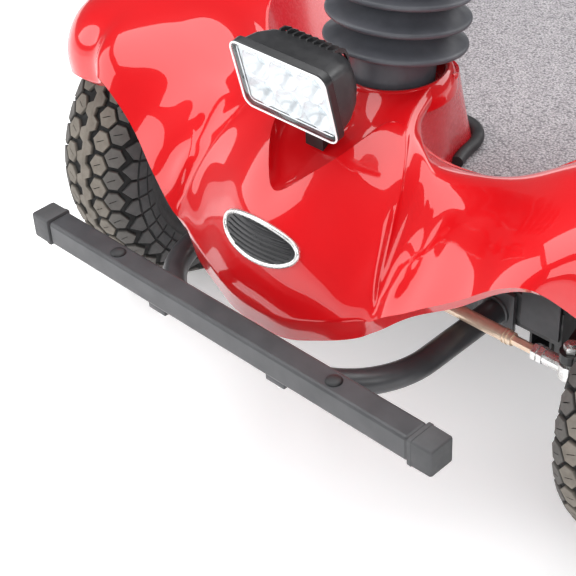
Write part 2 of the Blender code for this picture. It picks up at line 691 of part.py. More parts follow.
def tiller():
    pivot = (0, STEER_Y, TILT_Z)
    stem = put("tiller_stem", rod_bm(lean_point(14), lean_point(215), 16.0, 28), "frame_black",
               pivot)
    eye = [rod_bm((-10.6, STEER_Y, TILT_Z), (10.6, STEER_Y, TILT_Z), 10.0, 20),
           rod_bm(lean_point(0), lean_point(20), 8.0, 16)]
    combine(stem, eye)
    combine(stem, [rod_bm((-30, STEER_Y, TILT_Z), (30, STEER_Y, TILT_Z), 4.3, 16)], "DIFFERENCE")
    smooth(stem)
    top = BOOT_FIRST + BOOT_RINGS * BOOT_PITCH
    profile = [(16.0 + GAP, top + 20), (16.0 + GAP, top + 8), (28.0, top - 8), (33.0, 34.0),
               (37.0, 28.0), (41.0, 28.0), (41.0, 44.0)]
    for ring in range(BOOT_RINGS):
        height = BOOT_FIRST + ring * BOOT_PITCH
        outer = 64.0 - 2.0 * max(0, ring - 2)
        profile += [(outer - 2, height + 4), (outer - 2, height + 12),
                    (BOOT_WAIST - 2.0 * ring, height + BOOT_PITCH - 3)]
    profile += [(26.0, top + 4), (22.0, top + 20)]
    boot = turned_bm(profile, pivot, sides=20, lean=LEAN)
    smooth(put("steering_boot", boot, "boot_rubber", pivot))


def steering_links():
    """Tie rods: gold bar with thin hex necks, lock nuts and a rod end at each end."""
    hole_y = STEER_Y + ARM_Y
    length = KINGPIN_X
    for tag, side in sides():
        inner = side * ARM_X
        pivot = (inner, hole_y, TIE_ROD_Z)

        def along(x0, x1, radius, count=16):
            return rod_bm((inner + side * x0, hole_y, TIE_ROD_Z),
                          (inner + side * x1, hole_y, TIE_ROD_Z), radius, count)

        bar = put("tie_rod_" + tag, along(40.0, length - 58.0, 6.2, 20), "zinc_gold", pivot)
        combine(bar, [along(4.0, 42.0, 4.6, 6), along(length - 60.0, length - 36.3, 4.6, 6)]
                + ball_stud(inner, hole_y))
        end = put("rod_end_" + tag, along(length - 24.5, length, 6.8, 16), "bright_steel", pivot)
        lock_nuts = [along(length - 36.0, length - 31.0, 8.0, 6),
                     along(length - 30.0, length - 25.0, 8.0, 6),
                     along(length - 34.0, length - 20.0, 5.5, 16)]
        combine(end, lock_nuts + ball_stud(inner + side * length, hole_y))


def ball_stud(x, y):
    """Rod end eye with its stud up through an arm, a spacer and a nut on top."""
    return [rod_bm((x, y, TIE_ROD_Z - 7), (x, y, TIE_ROD_Z + 7), 10.0, 14),
            rod_bm((x, y, TIE_ROD_Z), (x, y, 212.2), 6.0, 10),
            rod_bm((x, y, TIE_ROD_Z), (x, y, 230), 4.0, 10),
            rod_bm((x, y, 221.8), (x, y, 228), 7.0, 6)]


def slab_arm(start, end, width, z0, z1):
    """Straight flat bar between two plan points."""
    run = Vector((end[0] - start[0], end[1] - start[1]))
    bm = box_bm((0, -width / 2, z0), (run.length, width / 2, z1))
    turn = Matrix.Rotation(math.atan2(run.y, run.x), 4, "Z")
    bmesh.ops.transform(bm, matrix=Matrix.Translation(vec((*start, 0))) @ turn, verts=bm.verts)
    return bm


def knuckles():
    for tag, side in sides():
        king = (side * KINGPIN_X, STEER_Y)
        pivot = (*king, 186.0)
        body = put("knuckle_" + tag, rod_bm((*king, 149.3), (*king, 222.7), 13.0, 24),
                   "frame_black", pivot)
        hole = (king[0] + side * ARM_X, STEER_Y + ARM_Y)
        tip = rod_bm((*hole, 212.5), (*hole, 221.5), 10.0, 20)
        web = slab_arm(king, hole, 16.0, 212.5, 221.5)
        low, high = sorted((side * (KINGPIN_X + 6.0), side * 262.0))
        block = box_bm((low, -40, 149.3), (high, 12, 173))
        stub = rod_bm((side * 258.0, 0, 160), (side * 358.0, 0, 160), 8.0, 20)
        combine(body, [tip, web, block, stub])
        combine(body, [rod_bm((*king, 140), (*king, 240), 8.4, 20),
                       rod_bm((*hole, 205), (*hole, 230), 4.4, 16)], "DIFFERENCE")
        pin = put("kingpin_" + tag, rod_bm((*king, 134), (*king, 238), 8.0, 20), "bright_steel",
                  pivot)
        combine(pin, [rod_bm((*king, 231.3), (*king, 240), 13.0, 6),
                      rod_bm((*king, 130), (*king, 140.7), 13.0, 6)])


# ---------------------------------------------------------------- wheels

def tyre_profile():
    """Section of a 4-inch pneumatic tyre as (radius, offset from its centre)."""
    half = WHEEL_WIDTH / 2
    top = WHEEL_RADIUS
    outline = [(RIM_RADIUS + 0.3, -31.0), (98, -46.0), (121, -half), (144, -47.0),
               (156.5, -30.0)]
    other = [(radius, -offset) for radius, offset in reversed(outline)]
    inside = [(102, 36.0), (146, 28.0), (146, -28.0), (102, -36.0)]
    return outline + [(top, 0.0)] + other + inside


def rim_half(side, bore):
    """Pressed rim half, from the joint at the wheel's middle out to the bead flange.

    The outer half, side +1, carries the hub barrel.
    """
    rim = RIM_RADIUS
    profile = [(rim, 1.0), (rim, 30.0), (rim - 4, 33.0), (rim - 7, 8.0)]
    if side > 0:
        profile += [(26, 7.0), (24, 28.0), (bore, 28.0), (bore, -34.0), (24.0, -34.0), (26, 1.0)]
    else:
        profile += [(27, 7.0), (27, 1.0)]
    return [(radius, side * offset) if side < 0 else (radius, offset)
            for radius, offset in profile]


def wheel(tag, x, y, side, bore):
    centre = (side * x, y, WHEEL_RADIUS)
    tyre = turned_bm([(r, side * o) for r, o in tyre_profile()], centre, "X", WHEEL_SIDES)
    smooth(put("tyre_" + tag, tyre, "tyre_rubber", centre))
    for half, turn in (("outer", 1.0), ("inner", -1.0)):
        rim = turned_bm([(r, side * o) for r, o in rim_half(turn, bore)], centre, "X", WHEEL_SIDES)
        smooth(put("rim_%s_%s" % (half, tag), rim, "rim_dark", centre))
    nut = put("axle_nut_" + tag, rod_bm((side * (x + 28.3), y, WHEEL_RADIUS),
                                        (side * (x + 44.0), y, WHEEL_RADIUS), 13.0, 6),
              "bright_steel", centre)
    combine(nut, [rod_bm((side * x, y, WHEEL_RADIUS), (side * (x + 40.5), y, WHEEL_RADIUS),
                         8.3, 16)], "DIFFERENCE")


def wheels():
    y, z = WHEELBASE, WHEEL_RADIUS
    for tag, side in sides():
        wheel("f" + tag, FRONT_WHEEL_X, 0.0, side, 8.3)
        wheel("r" + tag, REAR_WHEEL_X, WHEELBASE, side, 12.3)
        shaft = put("axle_shaft_" + tag, rod_bm((side * 150, y, z), (side * 332, y, z), 12.0, 14),
                    "bright_steel", (side * REAR_WHEEL_X, y, z))
        combine(shaft, [rod_bm((side * 330, y, z), (side * 344, y, z), 8.0, 16)])


# ---------------------------------------------------------------- lamp

def lamp_frame(bm):
    """Place lamp geometry about the lamp's centre so that the face looks slightly down."""
    turn = Matrix.Translation(vec(LAMP_CENTRE)) @ Matrix.Rotation(LAMP_TILT, 4, "X")
    bmesh.ops.transform(bm, matrix=turn, verts=bm.verts)
    return bm


def lamp():
    wide, deep, high = LAMP_SIZE
    front = -30.0
    half = wide / 2
    body = put("lamp_housing", lamp_frame(box_bm((-half, front + 1.8, -high / 2),
                                                 (half, front + deep, high / 2))),
               "plastic_black", LAMP_PIVOT)
    rounded(body, 8.0, 3)
    combine(body, [lamp_frame(box_bm((-half + 5, front - 5, -high / 2 + 5),
                                     (half - 5, front + 24, high / 2 - 5)))], "DIFFERENCE")
    inset = 5 + GAP
    plate = put("lamp_reflector",
                lamp_frame(box_bm((-half + inset, front + 6, -high / 2 + inset),
                                  (half - inset, front + 20, high / 2 - inset))),
                "reflector", LAMP_PIVOT)
    cups = []
    for column in (-1, 0, 1):
        for row in (-0.5, 0.5):
            x, z = column * 32.0, row * 29.0
            cups.append(lamp_frame(rod_bm((x, front + 5, z), (x, front + 17, z), 13.5, 12, 5.0)))
    combine(plate, cups, "DIFFERENCE")
    lens = put("lamp_lens", lamp_frame(box_bm((-half, front - 1, -high / 2),
                                              (half, front + 1.5, high / 2))),
               "lens_clear", LAMP_PIVOT)
    rounded(lens, 0.8, 1)
    y, z = LAMP_PIVOT[1:]
    lug = [box_bm((-6, y - 8, z), (6, y + 8, z + 18)), rod_bm((-6, y, z), (6, y, z), 8.0, 20),
           rod_bm((-14, y, z), (14, y, z), 4.0, 16)]
    for side in (1, -1):
        lug.append(rod_bm((side * 10.8, y, z), (side * 14, y, z), 6.5, 6))
    combine(body, lug)
    lamp_bracket()


def lamp_bracket():
    """Clevis that holds the lamp's lug; its foot is cut to the slope of the hood."""
    y, z = LAMP_PIVOT[1:]
    bracket = put("lamp_bracket", box_bm((-10.5, y - 10, 325), (10.5, y + 10, 349)),
                  "plastic_black")
    cheeks = []
    for side in (1, -1):
        x0, x1 = sorted((side * 6.3, side * 10.5))
        cheeks.append(box_bm((x0, y - 8, 345), (x1, y + 8, z + 8)))
    combine(bracket, cheeks)
    below = box_bm((-30, -40, -40), (30, 40, 0))
    slope = Matrix.Translation(vec((0, y, LAMP_FOOT_Z))) @ Matrix.Rotation(LAMP_FOOT_SLOPE, 4, "X")
    bmesh.ops.transform(below, matrix=slope, verts=below.verts)
    combine(bracket, [below, rod_bm((-20, y, z), (20, y, z), 4.4, 16)], "DIFFERENCE")


# ---------------------------------------------------------------- rear drive

def rear_drive():
    y, z = WHEELBASE, WHEEL_RADIUS
    solid = [(0, -238), (28, -238), (28, -84), (58, -62), (74, -40), (74, 40), (58, 62),
             (28, 84), (28, 238), (0, 238)]
    unit = put("transaxle_case", turned_bm(solid, (0, y, z), "X", 20), "motor_grey")
    combine(unit, [rod_bm((0, y - 85, 172), (0, y, 172), 34.0, 16)])
    bores = [rod_bm((s * 145, y, z), (s * 245, y, z), 12.4, 14) for s in (1, -1)]
    bores.append(rod_bm((44, y, 205), (90, y, 205), 6.5, 12))
    combine(unit, bores, "DIFFERENCE")
    smooth(unit)
    motor = [(0, 0), (44, 0), (46, 4), (46, 24), (44, 26), (44, 112), (46, 114), (46, 130),
             (40, 138), (0, 138)]
    smooth(put("drive_motor", turned_bm([(r, -h) for r, h in motor], (0, y - 85.3, 172), "Y", 20),
               "plastic_black"))
    for tag, side in sides():
        x0, x1 = sorted((side * 97.0, side * 123.0))
        clamp = put("axle_clamp_" + tag, box_bm((x0, 922, 124), (x1, 998, 188.2)), "bright_steel")
        combine(clamp, [rod_bm((side * 90, y, z), (side * 130, y, z), 29.0, 20)], "DIFFERENCE")
    lever = put("freewheel_lever", rod_bm((46.0, y, 205), (86.0, y, 205), 6.0, 12), "zinc_gold",
                (82, y, 205))
    combine(lever, [box_bm((78, y - 6, 205), (86, y + 6, 285)),
                    rod_bm((82, y, 278), (82, y, 306), 10.0, 12)])
    for tag, side in sides():
        x0, x1 = sorted((side * 3.0, side * 198.0))
        pack = put("battery_" + tag, box_bm((x0, 581, 194 + GAP), (x1, 709, 354)), "battery_grey")
        rounded(pack, 4.0, 2)
    box = put("controller_box", box_bm((-50, 828, 267 + GAP), (50, 918, 305)), "motor_grey")
    fins = [box_bm((-46 + 12 * n, 826, 296), (-40 + 12 * n, 920, 310)) for n in range(8)]
    combine(box, fins, "DIFFERENCE")


# ---------------------------------------------------------------- build

frame_weldment()
bushes()
bumper()
front_cowl()
floor()
steering_column()
tiller()
steering_links()
knuckles()
wheels()
lamp()
rear_drive()
badge()
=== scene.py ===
"""Looks of the rolling chassis: materials, the moulded body, tyres, lamp, boot and small parts.

Lengths are in millimetres and are turned into metres by at() and MM. Y is written from the
front axle line, which is read from the frame. +Z is up, -Y is forward, +X is the left side.
"""

import json
import math

import bmesh
import bpy
import numpy as np
from mathutils import Matrix, Vector, noise
from mathutils.bvhtree import BVHTree


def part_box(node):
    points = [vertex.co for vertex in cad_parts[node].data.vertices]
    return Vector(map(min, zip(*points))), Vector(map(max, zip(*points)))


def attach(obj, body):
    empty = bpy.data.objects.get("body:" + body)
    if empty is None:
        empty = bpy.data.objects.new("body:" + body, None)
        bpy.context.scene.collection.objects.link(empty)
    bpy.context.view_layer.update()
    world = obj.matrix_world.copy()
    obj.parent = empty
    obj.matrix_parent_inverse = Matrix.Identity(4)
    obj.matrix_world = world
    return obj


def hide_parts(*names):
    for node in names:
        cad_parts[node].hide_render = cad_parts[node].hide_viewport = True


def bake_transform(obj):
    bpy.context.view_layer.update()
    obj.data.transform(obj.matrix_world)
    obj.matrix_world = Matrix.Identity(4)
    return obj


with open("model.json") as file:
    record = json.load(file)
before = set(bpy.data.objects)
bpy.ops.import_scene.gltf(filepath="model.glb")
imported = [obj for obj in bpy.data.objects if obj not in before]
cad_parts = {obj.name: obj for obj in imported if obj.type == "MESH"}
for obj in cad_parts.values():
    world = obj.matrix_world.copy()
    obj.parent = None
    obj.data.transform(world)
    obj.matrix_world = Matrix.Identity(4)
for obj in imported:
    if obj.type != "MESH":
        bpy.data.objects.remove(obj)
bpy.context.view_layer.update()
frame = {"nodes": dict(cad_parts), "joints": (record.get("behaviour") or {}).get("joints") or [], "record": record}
NODES = frame["nodes"]

MM = 0.001


def middle(node):
    low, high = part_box(node)
    return (low + high) / 2


FRONT_AXLE = middle("tyre_fl").y
SIDES = (("l", 1.0), ("r", -1.0))


def at(point):
    """World place in metres of a point in millimetres behind the front axle line."""
    return Vector((point[0] * MM, point[1] * MM + FRONT_AXLE, point[2] * MM))


def here(place):
    """Millimetres behind the front axle line for a world place in metres."""
    return Vector((place.x / MM, (place.y - FRONT_AXLE) / MM, place.z / MM))


def joint_place(name):
    return next(Vector(joint["pos_m"]) for joint in frame["joints"] if joint["name"] == name)


# ---------------------------------------------------------------- mesh helpers

def piece(name, bm, slot, body=None, replaced=(), finish=None, smooth=True):
    """Turn a bmesh given in metres, in world place, into a piece that rides on a body.

    The piece is finished as its material slot says, unless another finish is named.
    """
    bmesh.ops.recalc_face_normals(bm, faces=bm.faces)
    mesh = bpy.data.meshes.new(name)
    bm.to_mesh(mesh)
    bm.free()
    obj = bpy.data.objects.new(name, mesh)
    bpy.context.scene.collection.objects.link(obj)
    mesh.materials.append(FINISH[finish or slot])
    if smooth:
        mesh.shade_smooth()
        mesh.set_sharp_from_angle(angle=math.radians(38))
    if body:
        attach(obj, body)
    if replaced:
        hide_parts(*replaced)
    return obj


def skin(rows, loop_rows=False, loop_points=False):
    """Quads between neighbouring rows of points in metres."""
    bm = bmesh.new()
    grid = [[bm.verts.new(point) for point in row] for row in rows]
    pairs = list(zip(grid, grid[1:]))
    if loop_rows:
        pairs.append((grid[-1], grid[0]))
    for low, high in pairs:
        steps = len(low) if loop_points else len(low) - 1
        for k in range(steps):
            after = (k + 1) % len(low)
            bm.faces.new((low[k], low[after], high[after], high[k]))
    return bm


def capped(bm):
    """Close every open edge loop of a skin."""
    bmesh.ops.holes_fill(bm, edges=bm.edges[:], sides=0)
    return bm


def mirrored(bm):
    bmesh.ops.mirror(bm, geom=bm.verts[:] + bm.edges[:] + bm.faces[:], merge_dist=1e-5, axis="X")
    return bm


def joined(parts):
    """One bmesh from several, as loose shells."""
    whole = bmesh.new()
    for part in parts:
        mesh = bpy.data.meshes.new("part")
        part.to_mesh(mesh)
        part.free()
        whole.from_mesh(mesh)
        bpy.data.meshes.remove(mesh)
    return whole


def turned(profile, turn, sides=96, closed=True):
    """Solid of revolution about local Z from (radius, height) in millimetres."""
    rows = []
    for step in range(sides):
        angle = math.tau * step / sides
        rows.append([turn @ Vector((r * MM * math.cos(angle), r * MM * math.sin(angle), h * MM))
                     for r, h in profile])
    return skin(rows, loop_rows=True, loop_points=closed)


def along_x(place, side=1.0):
    """Turn that sends local +Z to world +X, or to -X for side -1, at a world place."""
    return Matrix.Translation(place) @ Matrix.Rotation(math.radians(90.0 * side), 4, "Y")


def box(low, high, width=0.8, segments=2):
    """Bevelled box between two corners in millimetres."""
    bm = bmesh.new()
    bmesh.ops.create_cube(bm, size=1.0)
    a, b = at(low), at(high)
    bmesh.ops.scale(bm, vec=b - a, verts=bm.verts)
    bmesh.ops.translate(bm, vec=(a + b) / 2, verts=bm.verts)
    bmesh.ops.bevel(bm, geom=bm.edges[:], offset=width * MM, segments=segments, affect="EDGES",
                    profile=0.5)
    return bm


def tube(path, radius, sides=24, closed=False):
    """Round bar along points in metres, with flat ends."""
    points = [Vector(p) for p in path]
    count = len(points)
    rows = []
    normal = None
    for k, point in enumerate(points):
        before = points[k - 1] if k or closed else point
        after = points[(k + 1) % count] if k < count - 1 or closed else point
        run = (after - before).normalized()
        if normal is None:
            normal = run.orthogonal().normalized()
        normal = (normal - run * normal.dot(run)).normalized()
        other = run.cross(normal)
        rows.append([point + (normal * math.cos(a) + other * math.sin(a)) * radius * MM
                     for a in (math.tau * s / sides for s in range(sides))])
    bm = skin(rows, loop_rows=closed, loop_points=True)
    return bm if closed else capped(bm)


def rounded_rectangle(half_x, half_z, radius, corner=6):
    """Outline points (x, z) of a rectangle with round corners."""
    points = []
    for quarter, (sx, sz) in enumerate(((1, 1), (-1, 1), (-1, -1), (1, -1))):
        for step in range(corner + 1):
            angle = math.radians(90 * quarter + 90 * step / corner)
            points.append((sx * (half_x - radius) + radius * math.cos(angle),
                           sz * (half_z - radius) + radius * math.sin(angle)))
    return points


def spline(knots, values, places):
    """Natural cubic spline through values (first axis) at knots, read at places."""
    knots = np.asarray(knots, float)
    values = np.asarray(values, float)
    gaps = np.diff(knots)
    system = np.eye(len(knots))
    right = np.zeros_like(values)
    for k in range(1, len(knots) - 1):
        system[k, k - 1:k + 2] = gaps[k - 1], 2 * (gaps[k - 1] + gaps[k]), gaps[k]
        right[k] = 6 * ((values[k + 1] - values[k]) / gaps[k]
                        - (values[k] - values[k - 1]) / gaps[k - 1])
    bends = np.linalg.solve(system, right.reshape(len(knots), -1)).reshape(values.shape)
    out = []
    for place in places:
        k = min(max(int(np.searchsorted(knots, place)) - 1, 0), len(knots) - 2)
        a = (knots[k + 1] - place) / gaps[k]
        b = 1 - a
        bend = (a ** 3 - a) * bends[k] + (b ** 3 - b) * bends[k + 1]
        out.append(a * values[k] + b * values[k + 1] + bend * gaps[k] ** 2 / 6)
    return np.array(out)


def smooth_line(points, steps):
    """Spline through points, with knots from the root of each chord."""
    array = np.array(points, float)
    chords = np.linalg.norm(np.diff(array, axis=0), axis=1)
    knots = np.concatenate([[0], np.cumsum(np.sqrt(chords))])
    return spline(knots, array, np.linspace(0, knots[-1], steps))


def smooth_path(points, steps):
    """Spline through points in millimetres, as world places in metres."""
    return [at(point) for point in smooth_line(points, steps)]


# ---------------------------------------------------------------- materials

class Shader:
    """A node material being built around one Principled shader."""

    def __init__(self, name):
        self.material = bpy.data.materials.new(name)
        self.material.use_nodes = True
        self.tree = self.material.node_tree
        self.main = self.tree.nodes["Principled BSDF"]
        self.where = self.node("ShaderNodeNewGeometry").outputs["Position"]

    def node(self, kind, **settings):
        made = self.tree.nodes.new(kind)
        for key, value in settings.items():
            setattr(made, key, value)
        return made

    def set(self, target, value):
        if isinstance(value, bpy.types.NodeSocket):
            self.tree.links.new(value, target)
        elif isinstance(value, (tuple, list)) and len(value) == 3 and target.type == "RGBA":
            target.default_value = (*value, 1.0)
        else:
            target.default_value = value

    def principled(self, **inputs):
        for key, value in inputs.items():
            self.set(self.main.inputs[key.replace("_", " ")], value)

    def noise(self, scale, detail=3.0, roughness=0.5, where=None, stretch=None):
        made = self.node("ShaderNodeTexNoise")
        self.set(made.inputs["Scale"], scale)
        self.set(made.inputs["Detail"], detail)
        self.set(made.inputs["Roughness"], roughness)
        place = where or self.where
        if stretch:
            mapping = self.node("ShaderNodeMapping")
            self.set(mapping.inputs["Vector"], place)
            mapping.inputs["Scale"].default_value = stretch
            place = mapping.outputs["Vector"]
        self.set(made.inputs["Vector"], place)
        return made.outputs["Fac"]

    def cells(self, scale, feature="F1", randomness=1.0):
        made = self.node("ShaderNodeTexVoronoi", feature=feature)
        self.set(made.inputs["Scale"], scale)
        self.set(made.inputs["Randomness"], randomness)
        self.set(made.inputs["Vector"], self.where)
        return made.outputs["Distance"]

    def ramp(self, factor, stops, constant=False):
        made = self.node("ShaderNodeValToRGB")
        self.set(made.inputs["Fac"], factor)
        band = made.color_ramp
        if constant:
            band.interpolation = "CONSTANT"
        while len(band.elements) < len(stops):
            band.elements.new(0.5)
        for element, (place, colour) in zip(band.elements, stops):
            element.position = place
            value = colour if isinstance(colour, tuple) else (colour,) * 3
            element.color = (*value, 1.0)
        return made.outputs["Color"]

    def drift(self, low, high, *noise, **more):
        """Value or colour that wanders between two, over a noise of the given scale."""
        return self.ramp(self.noise(*noise, **more), [(0.3, low), (0.7, high)])

    def math(self, operation, a, b=0.0, c=0.0):
        made = self.node("ShaderNodeMath", operation=operation)
        for socket, value in zip(made.inputs, (a, b, c)):
            self.set(socket, value)
        return made.outputs[0]

    def mix(self, factor, a, b, blend="MIX"):
        made = self.node("ShaderNodeMix", data_type="RGBA", blend_type=blend)
        self.set(made.inputs["Factor"], factor)
        self.set(made.inputs[6], a)
        self.set(made.inputs[7], b)
        return made.outputs[2]

    def bump(self, height, distance, strength=1.0, under=None):
        made = self.node("ShaderNodeBump")
        self.set(made.inputs["Height"], height)
        self.set(made.inputs["Distance"], distance * MM)
        self.set(made.inputs["Strength"], strength)
        if under:
            self.set(made.inputs["Normal"], under)
        return made.outputs["Normal"]

    def edges(self, low=0.5, high=0.6):
        """White on convex edges, from pointiness."""
        return self.ramp(self.node("ShaderNodeNewGeometry").outputs["Pointiness"],
                         [(low, 0.0), (high, 1.0)])

    def attribute(self, name):
        return self.node("ShaderNodeAttribute", attribute_name=name).outputs["Fac"]


def gloss_red():
    s = Shader("gloss_red")
    flow = s.noise(9.0, 2.0)
    dust = s.noise(420.0, 4.0, 0.7)
    s.principled(Base_Color=s.ramp(flow, [(0.3, (0.52, 0.0018, 0.004)), (0.7, (0.60, 0.003, 0.006))]),
                 Roughness=s.ramp(dust, [(0.35, 0.34), (0.75, 0.44)]), IOR=1.5,
                 Specular_IOR_Level=0.12, Coat_Weight=1.0, Coat_Roughness=0.025, Coat_IOR=1.55,
                 Normal=s.bump(s.noise(150.0, 2.0), 0.05, 0.25),
                 Coat_Normal=s.bump(s.noise(110.0, 1.0), 0.03, 0.12))
    return s.material


def satin_red():
    """Same moulding where it is less polished, as on the inner walls."""
    s = Shader("satin_red")
    s.principled(Base_Color=s.drift((0.52, 0.006, 0.014), (0.60, 0.01, 0.02), 14.0),
                 Roughness=s.drift(0.22, 0.32, 300.0, 4.0),
                 Coat_Weight=0.6, Coat_Roughness=0.12,
                 Normal=s.bump(s.noise(240.0, 2.0), 0.06, 0.3))
    return s.material


def coated_metal(name, dark, light, rough=(0.32, 0.46), grain=1400.0, metallic=0.0, worn=None):
    """Powder coat: fine orange peel, uneven sheen and slightly rubbed edges."""
    s = Shader(name)
    colour = s.drift(dark, light, 35.0, 5.0)
    if worn:
        patches = s.ramp(s.noise(90.0, 5.0), [(0.5, 0.0), (0.62, 1.0)])
        scuffs = s.math("MULTIPLY", s.edges(0.51, 0.58), patches)
        colour = s.mix(scuffs, colour, worn)
    s.principled(Base_Color=colour, Metallic=metallic,
                 Roughness=s.drift(rough[0], rough[1], 60.0, 6.0),
                 Normal=s.bump(s.noise(grain, 2.0), 0.05, 0.35))
    return s.material


def moulded_plastic(name, dark, light, rough=0.5, grain=2600.0, depth=0.06):
    """Black or grey plastic with a fine spark-eroded grain and faint flow marks."""
    s = Shader(name)
    flow = s.noise(22.0, 3.0, stretch=(1.0, 0.35, 1.0))
    fine = s.bump(s.noise(grain, 2.0, 0.6), depth, 0.5)
    s.principled(Base_Color=s.ramp(flow, [(0.3, dark), (0.7, light)]),
                 Roughness=s.drift(rough - 0.07, rough + 0.07, 130.0, 4.0),
                 Normal=s.bump(flow, 0.1, 0.1, fine))
    return s.material


def soft_rubber(name, dark, light, rough=0.55):
    """Moulded rubber: bloom in patches, fine matt grain."""
    s = Shader(name)
    bloom = s.noise(26.0, 6.0, 0.65)
    s.principled(Base_Color=s.ramp(bloom, [(0.32, dark), (0.68, light)]),
                 Roughness=s.drift(rough - 0.08, rough + 0.1, 80.0, 5.0),
                 Specular_IOR_Level=0.45,
                 Normal=s.bump(s.noise(1500.0, 3.0), 0.05, 0.35))
    return s.material


def tyre_rubber():
    """Grey-black tread, browner on the running face, with painted shade that turns the grooves near black."""
    s = Shader("tyre_rubber")
    rubber = s.drift((0.055, 0.055, 0.058), (0.088, 0.087, 0.088), 40.0, 6.0, 0.65)
    dusty = s.drift((0.13, 0.115, 0.095), (0.21, 0.185, 0.155), 55.0, 6.0, 0.7)
    painted_groove_shade = s.attribute("painted_groove_shade")
    colour = s.mix(s.attribute("running"), rubber, dusty)
    # painted shade: where the groove mark is set (grooves, sipes, between the lugs) the rubber is painted near
    # black
    colour = s.mix(painted_groove_shade, colour, (0.006, 0.006, 0.006))
    s.principled(Base_Color=colour, Specular_IOR_Level=0.35,
                 Roughness=s.drift(0.62, 0.85, 200.0, 5.0),
                 Normal=s.bump(s.noise(900.0, 5.0, 0.7), 0.12, 0.5))
    return s.material


def plated(name, dark, light, rough, metallic):
    """Zinc plated steel with faint tool marks and patchy passivation."""
    s = Shader(name)
    marks = s.noise(700.0, 2.0)
    s.principled(Base_Color=s.drift(dark, light, 70.0, 5.0, 0.6),
                 Metallic=metallic,
                 Roughness=s.drift(rough[0], rough[1], 160.0, 5.0),
                 Normal=s.bump(marks, 0.03, 0.4))
    return s.material


def cast_metal():
    s = Shader("motor_grey")
    skin_grain = s.noise(600.0, 6.0, 0.7)
    s.principled(Base_Color=s.drift((0.20, 0.20, 0.205), (0.30, 0.30, 0.305), 20.0, 6.0),
                 Metallic=0.85, Roughness=s.ramp(skin_grain, [(0.3, 0.38), (0.7, 0.6)]),
                 Normal=s.bump(skin_grain, 0.25, 0.5))
    return s.material


def carpet_pile():
    """Loop pile in mixed grey yarns, with painted shade in the low gaps between the loops."""
    s = Shader("carpet")
    yarn = s.cells(420.0)
    tone = s.ramp(s.noise(620.0, 5.0, 0.75), [(0.30, (0.15, 0.14, 0.15)), (0.48, (0.33, 0.31, 0.32)),
                                             (0.62, (0.55, 0.52, 0.53))])
    wide = s.drift(0.82, 1.0, 60.0, 3.0)
    colour = s.mix(1.0, tone, wide, "MULTIPLY")
    # painted shade: towards the cell edges, the low gaps between the loops, the colour is mixed towards near black
    colour = s.mix(s.ramp(yarn, [(0.35, 0.0), (0.8, 0.75)]), colour, (0.07, 0.065, 0.075))
    s.principled(Base_Color=colour, Roughness=0.95, Specular_IOR_Level=0.2, Sheen_Weight=0.35,
                 Sheen_Roughness=0.5, Normal=s.bump(yarn, -0.9, 0.8))
    return s.material


def mirror_metal():
    s = Shader("reflector")
    s.principled(Base_Color=s.drift((0.90, 0.90, 0.91), (0.96, 0.96, 0.96), 50.0),
                 Metallic=0.2, Roughness=s.drift(0.16, 0.26, 300.0),
                 Normal=s.bump(s.noise(400.0), 0.05, 0.2))
    return s.material


def clear_lens():
    """Thin clear cover: see-through, with a sharp reflection on its outer face only."""
    s = Shader("lens_clear")
    wave = s.bump(s.noise(90.0, 1.0), 0.12, 0.3)
    fresnel = s.node("ShaderNodeFresnel")
    s.set(fresnel.inputs["IOR"], 1.52)
    s.set(fresnel.inputs["Normal"], wave)
    clear = s.node("ShaderNodeBsdfTransparent")
    s.set(clear.inputs["Color"], s.drift((0.93, 0.95, 0.96), (0.97, 0.98, 0.985), 40.0))
    shine = s.node("ShaderNodeBsdfGlossy")
    s.set(shine.inputs["Roughness"], 0.03)
    s.set(shine.inputs["Normal"], wave)
    blend = s.node("ShaderNodeMixShader")
    facing = s.math("SUBTRACT", 1.0, s.node("ShaderNodeNewGeometry").outputs["Backfacing"])
    s.set(blend.inputs[0], s.math("MULTIPLY", fresnel.outputs[0], facing))
    s.set(blend.inputs[1], clear.outputs[0])
    s.set(blend.inputs[2], shine.outputs[0])
    out = next(n for n in s.tree.nodes if n.type == "OUTPUT_MATERIAL")
    s.set(out.inputs["Surface"], blend.outputs[0])
    return s.material


def led_chip():
    s = Shader("led_chip")
    s.principled(Base_Color=s.ramp(s.cells(900.0), [(0.2, (0.9, 0.78, 0.35)), (0.6, (0.95, 0.9, 0.6))]),
                 Roughness=0.3, Normal=s.bump(s.noise(800.0), 0.05, 0.3))
    return s.material


